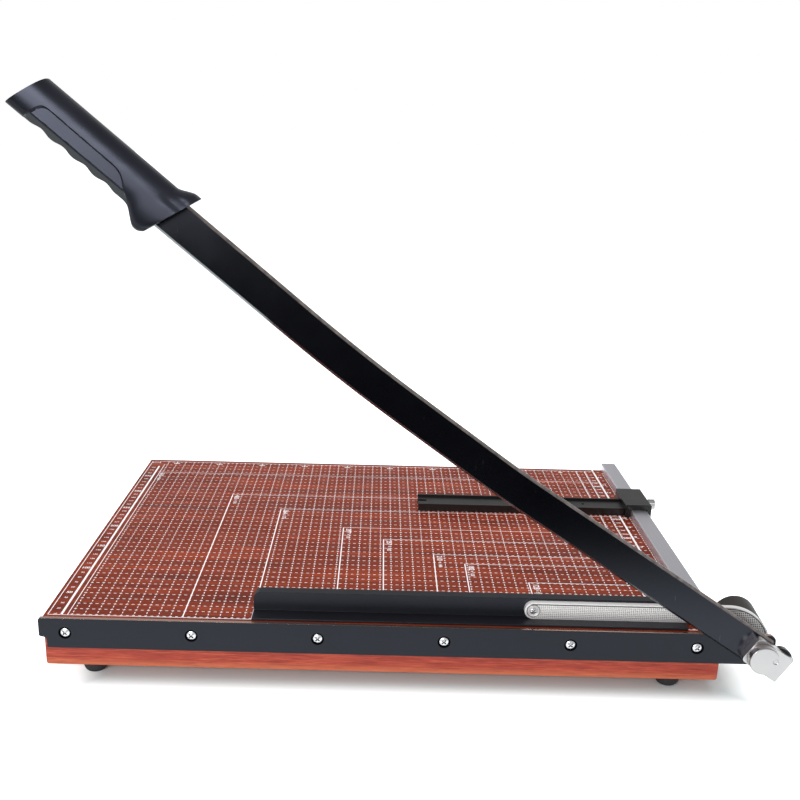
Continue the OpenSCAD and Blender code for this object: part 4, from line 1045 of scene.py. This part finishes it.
class Stage(NodeTree):
    """Node calls for the floor and the world."""

    def past(self, value, reach):
        """How far a value lies past the reach, either way."""
        return self.less(self.math("ABSOLUTE", value), reach)

    def seen(self, *kinds):
        """1 for any of these kinds of ray."""
        path = self.add("ShaderNodeLightPath")
        value = path.outputs[kinds[0]]
        for kind in kinds[1:]:
            value = self.either(value, path.outputs[kind])
        return value

    def switch(self, share, a, b):
        inputs = {"Factor": share, "A": a, "B": b}
        return self.add("ShaderNodeMix", inputs, data_type="FLOAT").outputs["Result"]


def floor_material():
    """A pale matt floor that glows to the camera, and less to gloss, outside the board's shadow."""
    material = bpy.data.materials.new("floor")
    material.use_nodes = True
    material.node_tree.nodes.clear()
    stage = Stage(material.node_tree)
    at = stage.add("ShaderNodeTexCoord").outputs["Object"]
    x, y = stage.part(at, "X"), stage.part(at, "Y")
    beside = stage.past(x, (BOARD_HIGH.x - BOARD_LOW.x) / 2)
    before = stage.past(y, (BOARD_HIGH.y - BOARD_LOW.y) / 2)
    fade = stage.spread(stage.either(beside, before), *FLOOR_FADE)
    near = stage.spread(y, *CLOTH_NEAR, 1, 0)
    far = stage.spread(y, *CLOTH_FAR)
    cloth = stage.times(stage.times(near, far), stage.seen("Is Glossy Ray"))
    gloss = stage.times(stage.seen("Is Glossy Ray", "Is Transmission Ray"), GLOSS_GLOW_SHARE)
    visible = stage.either(stage.seen("Is Camera Ray"), gloss)
    strength = stage.times(visible, stage.times(fade, FLOOR_GLOW))
    matt = stage.add("ShaderNodeBsdfDiffuse", {"Color": (*FLOOR_TONE, 1)})
    glow = stage.add("ShaderNodeEmission", {"Strength": strength})
    both = stage.add("ShaderNodeAddShader", {0: matt.outputs[0], 1: glow.outputs[0]})
    dark = stage.add("ShaderNodeEmission", {"Strength": CLOTH_TONE})
    mixed = stage.add("ShaderNodeMixShader", {0: cloth, 1: both.outputs[0], 2: dark.outputs[0]})
    stage.add("ShaderNodeOutputMaterial", {"Surface": mixed.outputs[0]})
    return material


def add_floor():
    mesh = bpy.data.meshes.new("floor")
    r = FLOOR_REACH
    mesh.from_pydata([(-r, -r, 0), (r, -r, 0), (r, r, 0), (-r, r, 0)], [], [(0, 1, 2, 3)])
    mesh.materials.append(floor_material())
    floor = show("floor", mesh)
    floor.location = (0, 0, -FLOOR_DROP)


def add_world():
    """White to the camera, even to matt surfaces, and darker overhead to gloss."""
    world = bpy.data.worlds.new("studio")
    bpy.context.scene.world = world
    world.use_nodes = True
    stage = Stage(world.node_tree)
    background = world.node_tree.nodes["Background"]
    background.inputs["Color"].default_value = (1, 1, 1, 1)
    height = stage.part(stage.add("ShaderNodeTexCoord").outputs["Generated"], "Z")
    gloss = stage.ramp(stage.times(stage.math("ARCSINE", height), 2 / math.pi), STUDIO_GLOSS)
    lit = stage.switch(stage.seen("Is Glossy Ray", "Is Transmission Ray"), WORLD_LIGHT, gloss)
    stage.feed(background.inputs["Strength"], stage.switch(stage.seen("Is Camera Ray"), lit, 1.0))


def add_lamps():
    for name, at, target, size, power, in_gloss in LAMPS:
        data = bpy.data.lights.new(name, "AREA")
        data.shape = "RECTANGLE"
        data.size, data.size_y = size
        data.energy = power
        lamp = show(name, data)
        lamp.location = at
        lamp.rotation_mode = "QUATERNION"
        lamp.rotation_quaternion = (Vector(target) - Vector(at)).to_track_quat("-Z", "Y")
        lamp.visible_glossy = in_gloss


dress_nodes()
smooth_nodes()
print_table()
bpy.context.scene.view_settings.view_transform = "Standard"
add_camera()
add_floor()
add_world()
add_lamps()
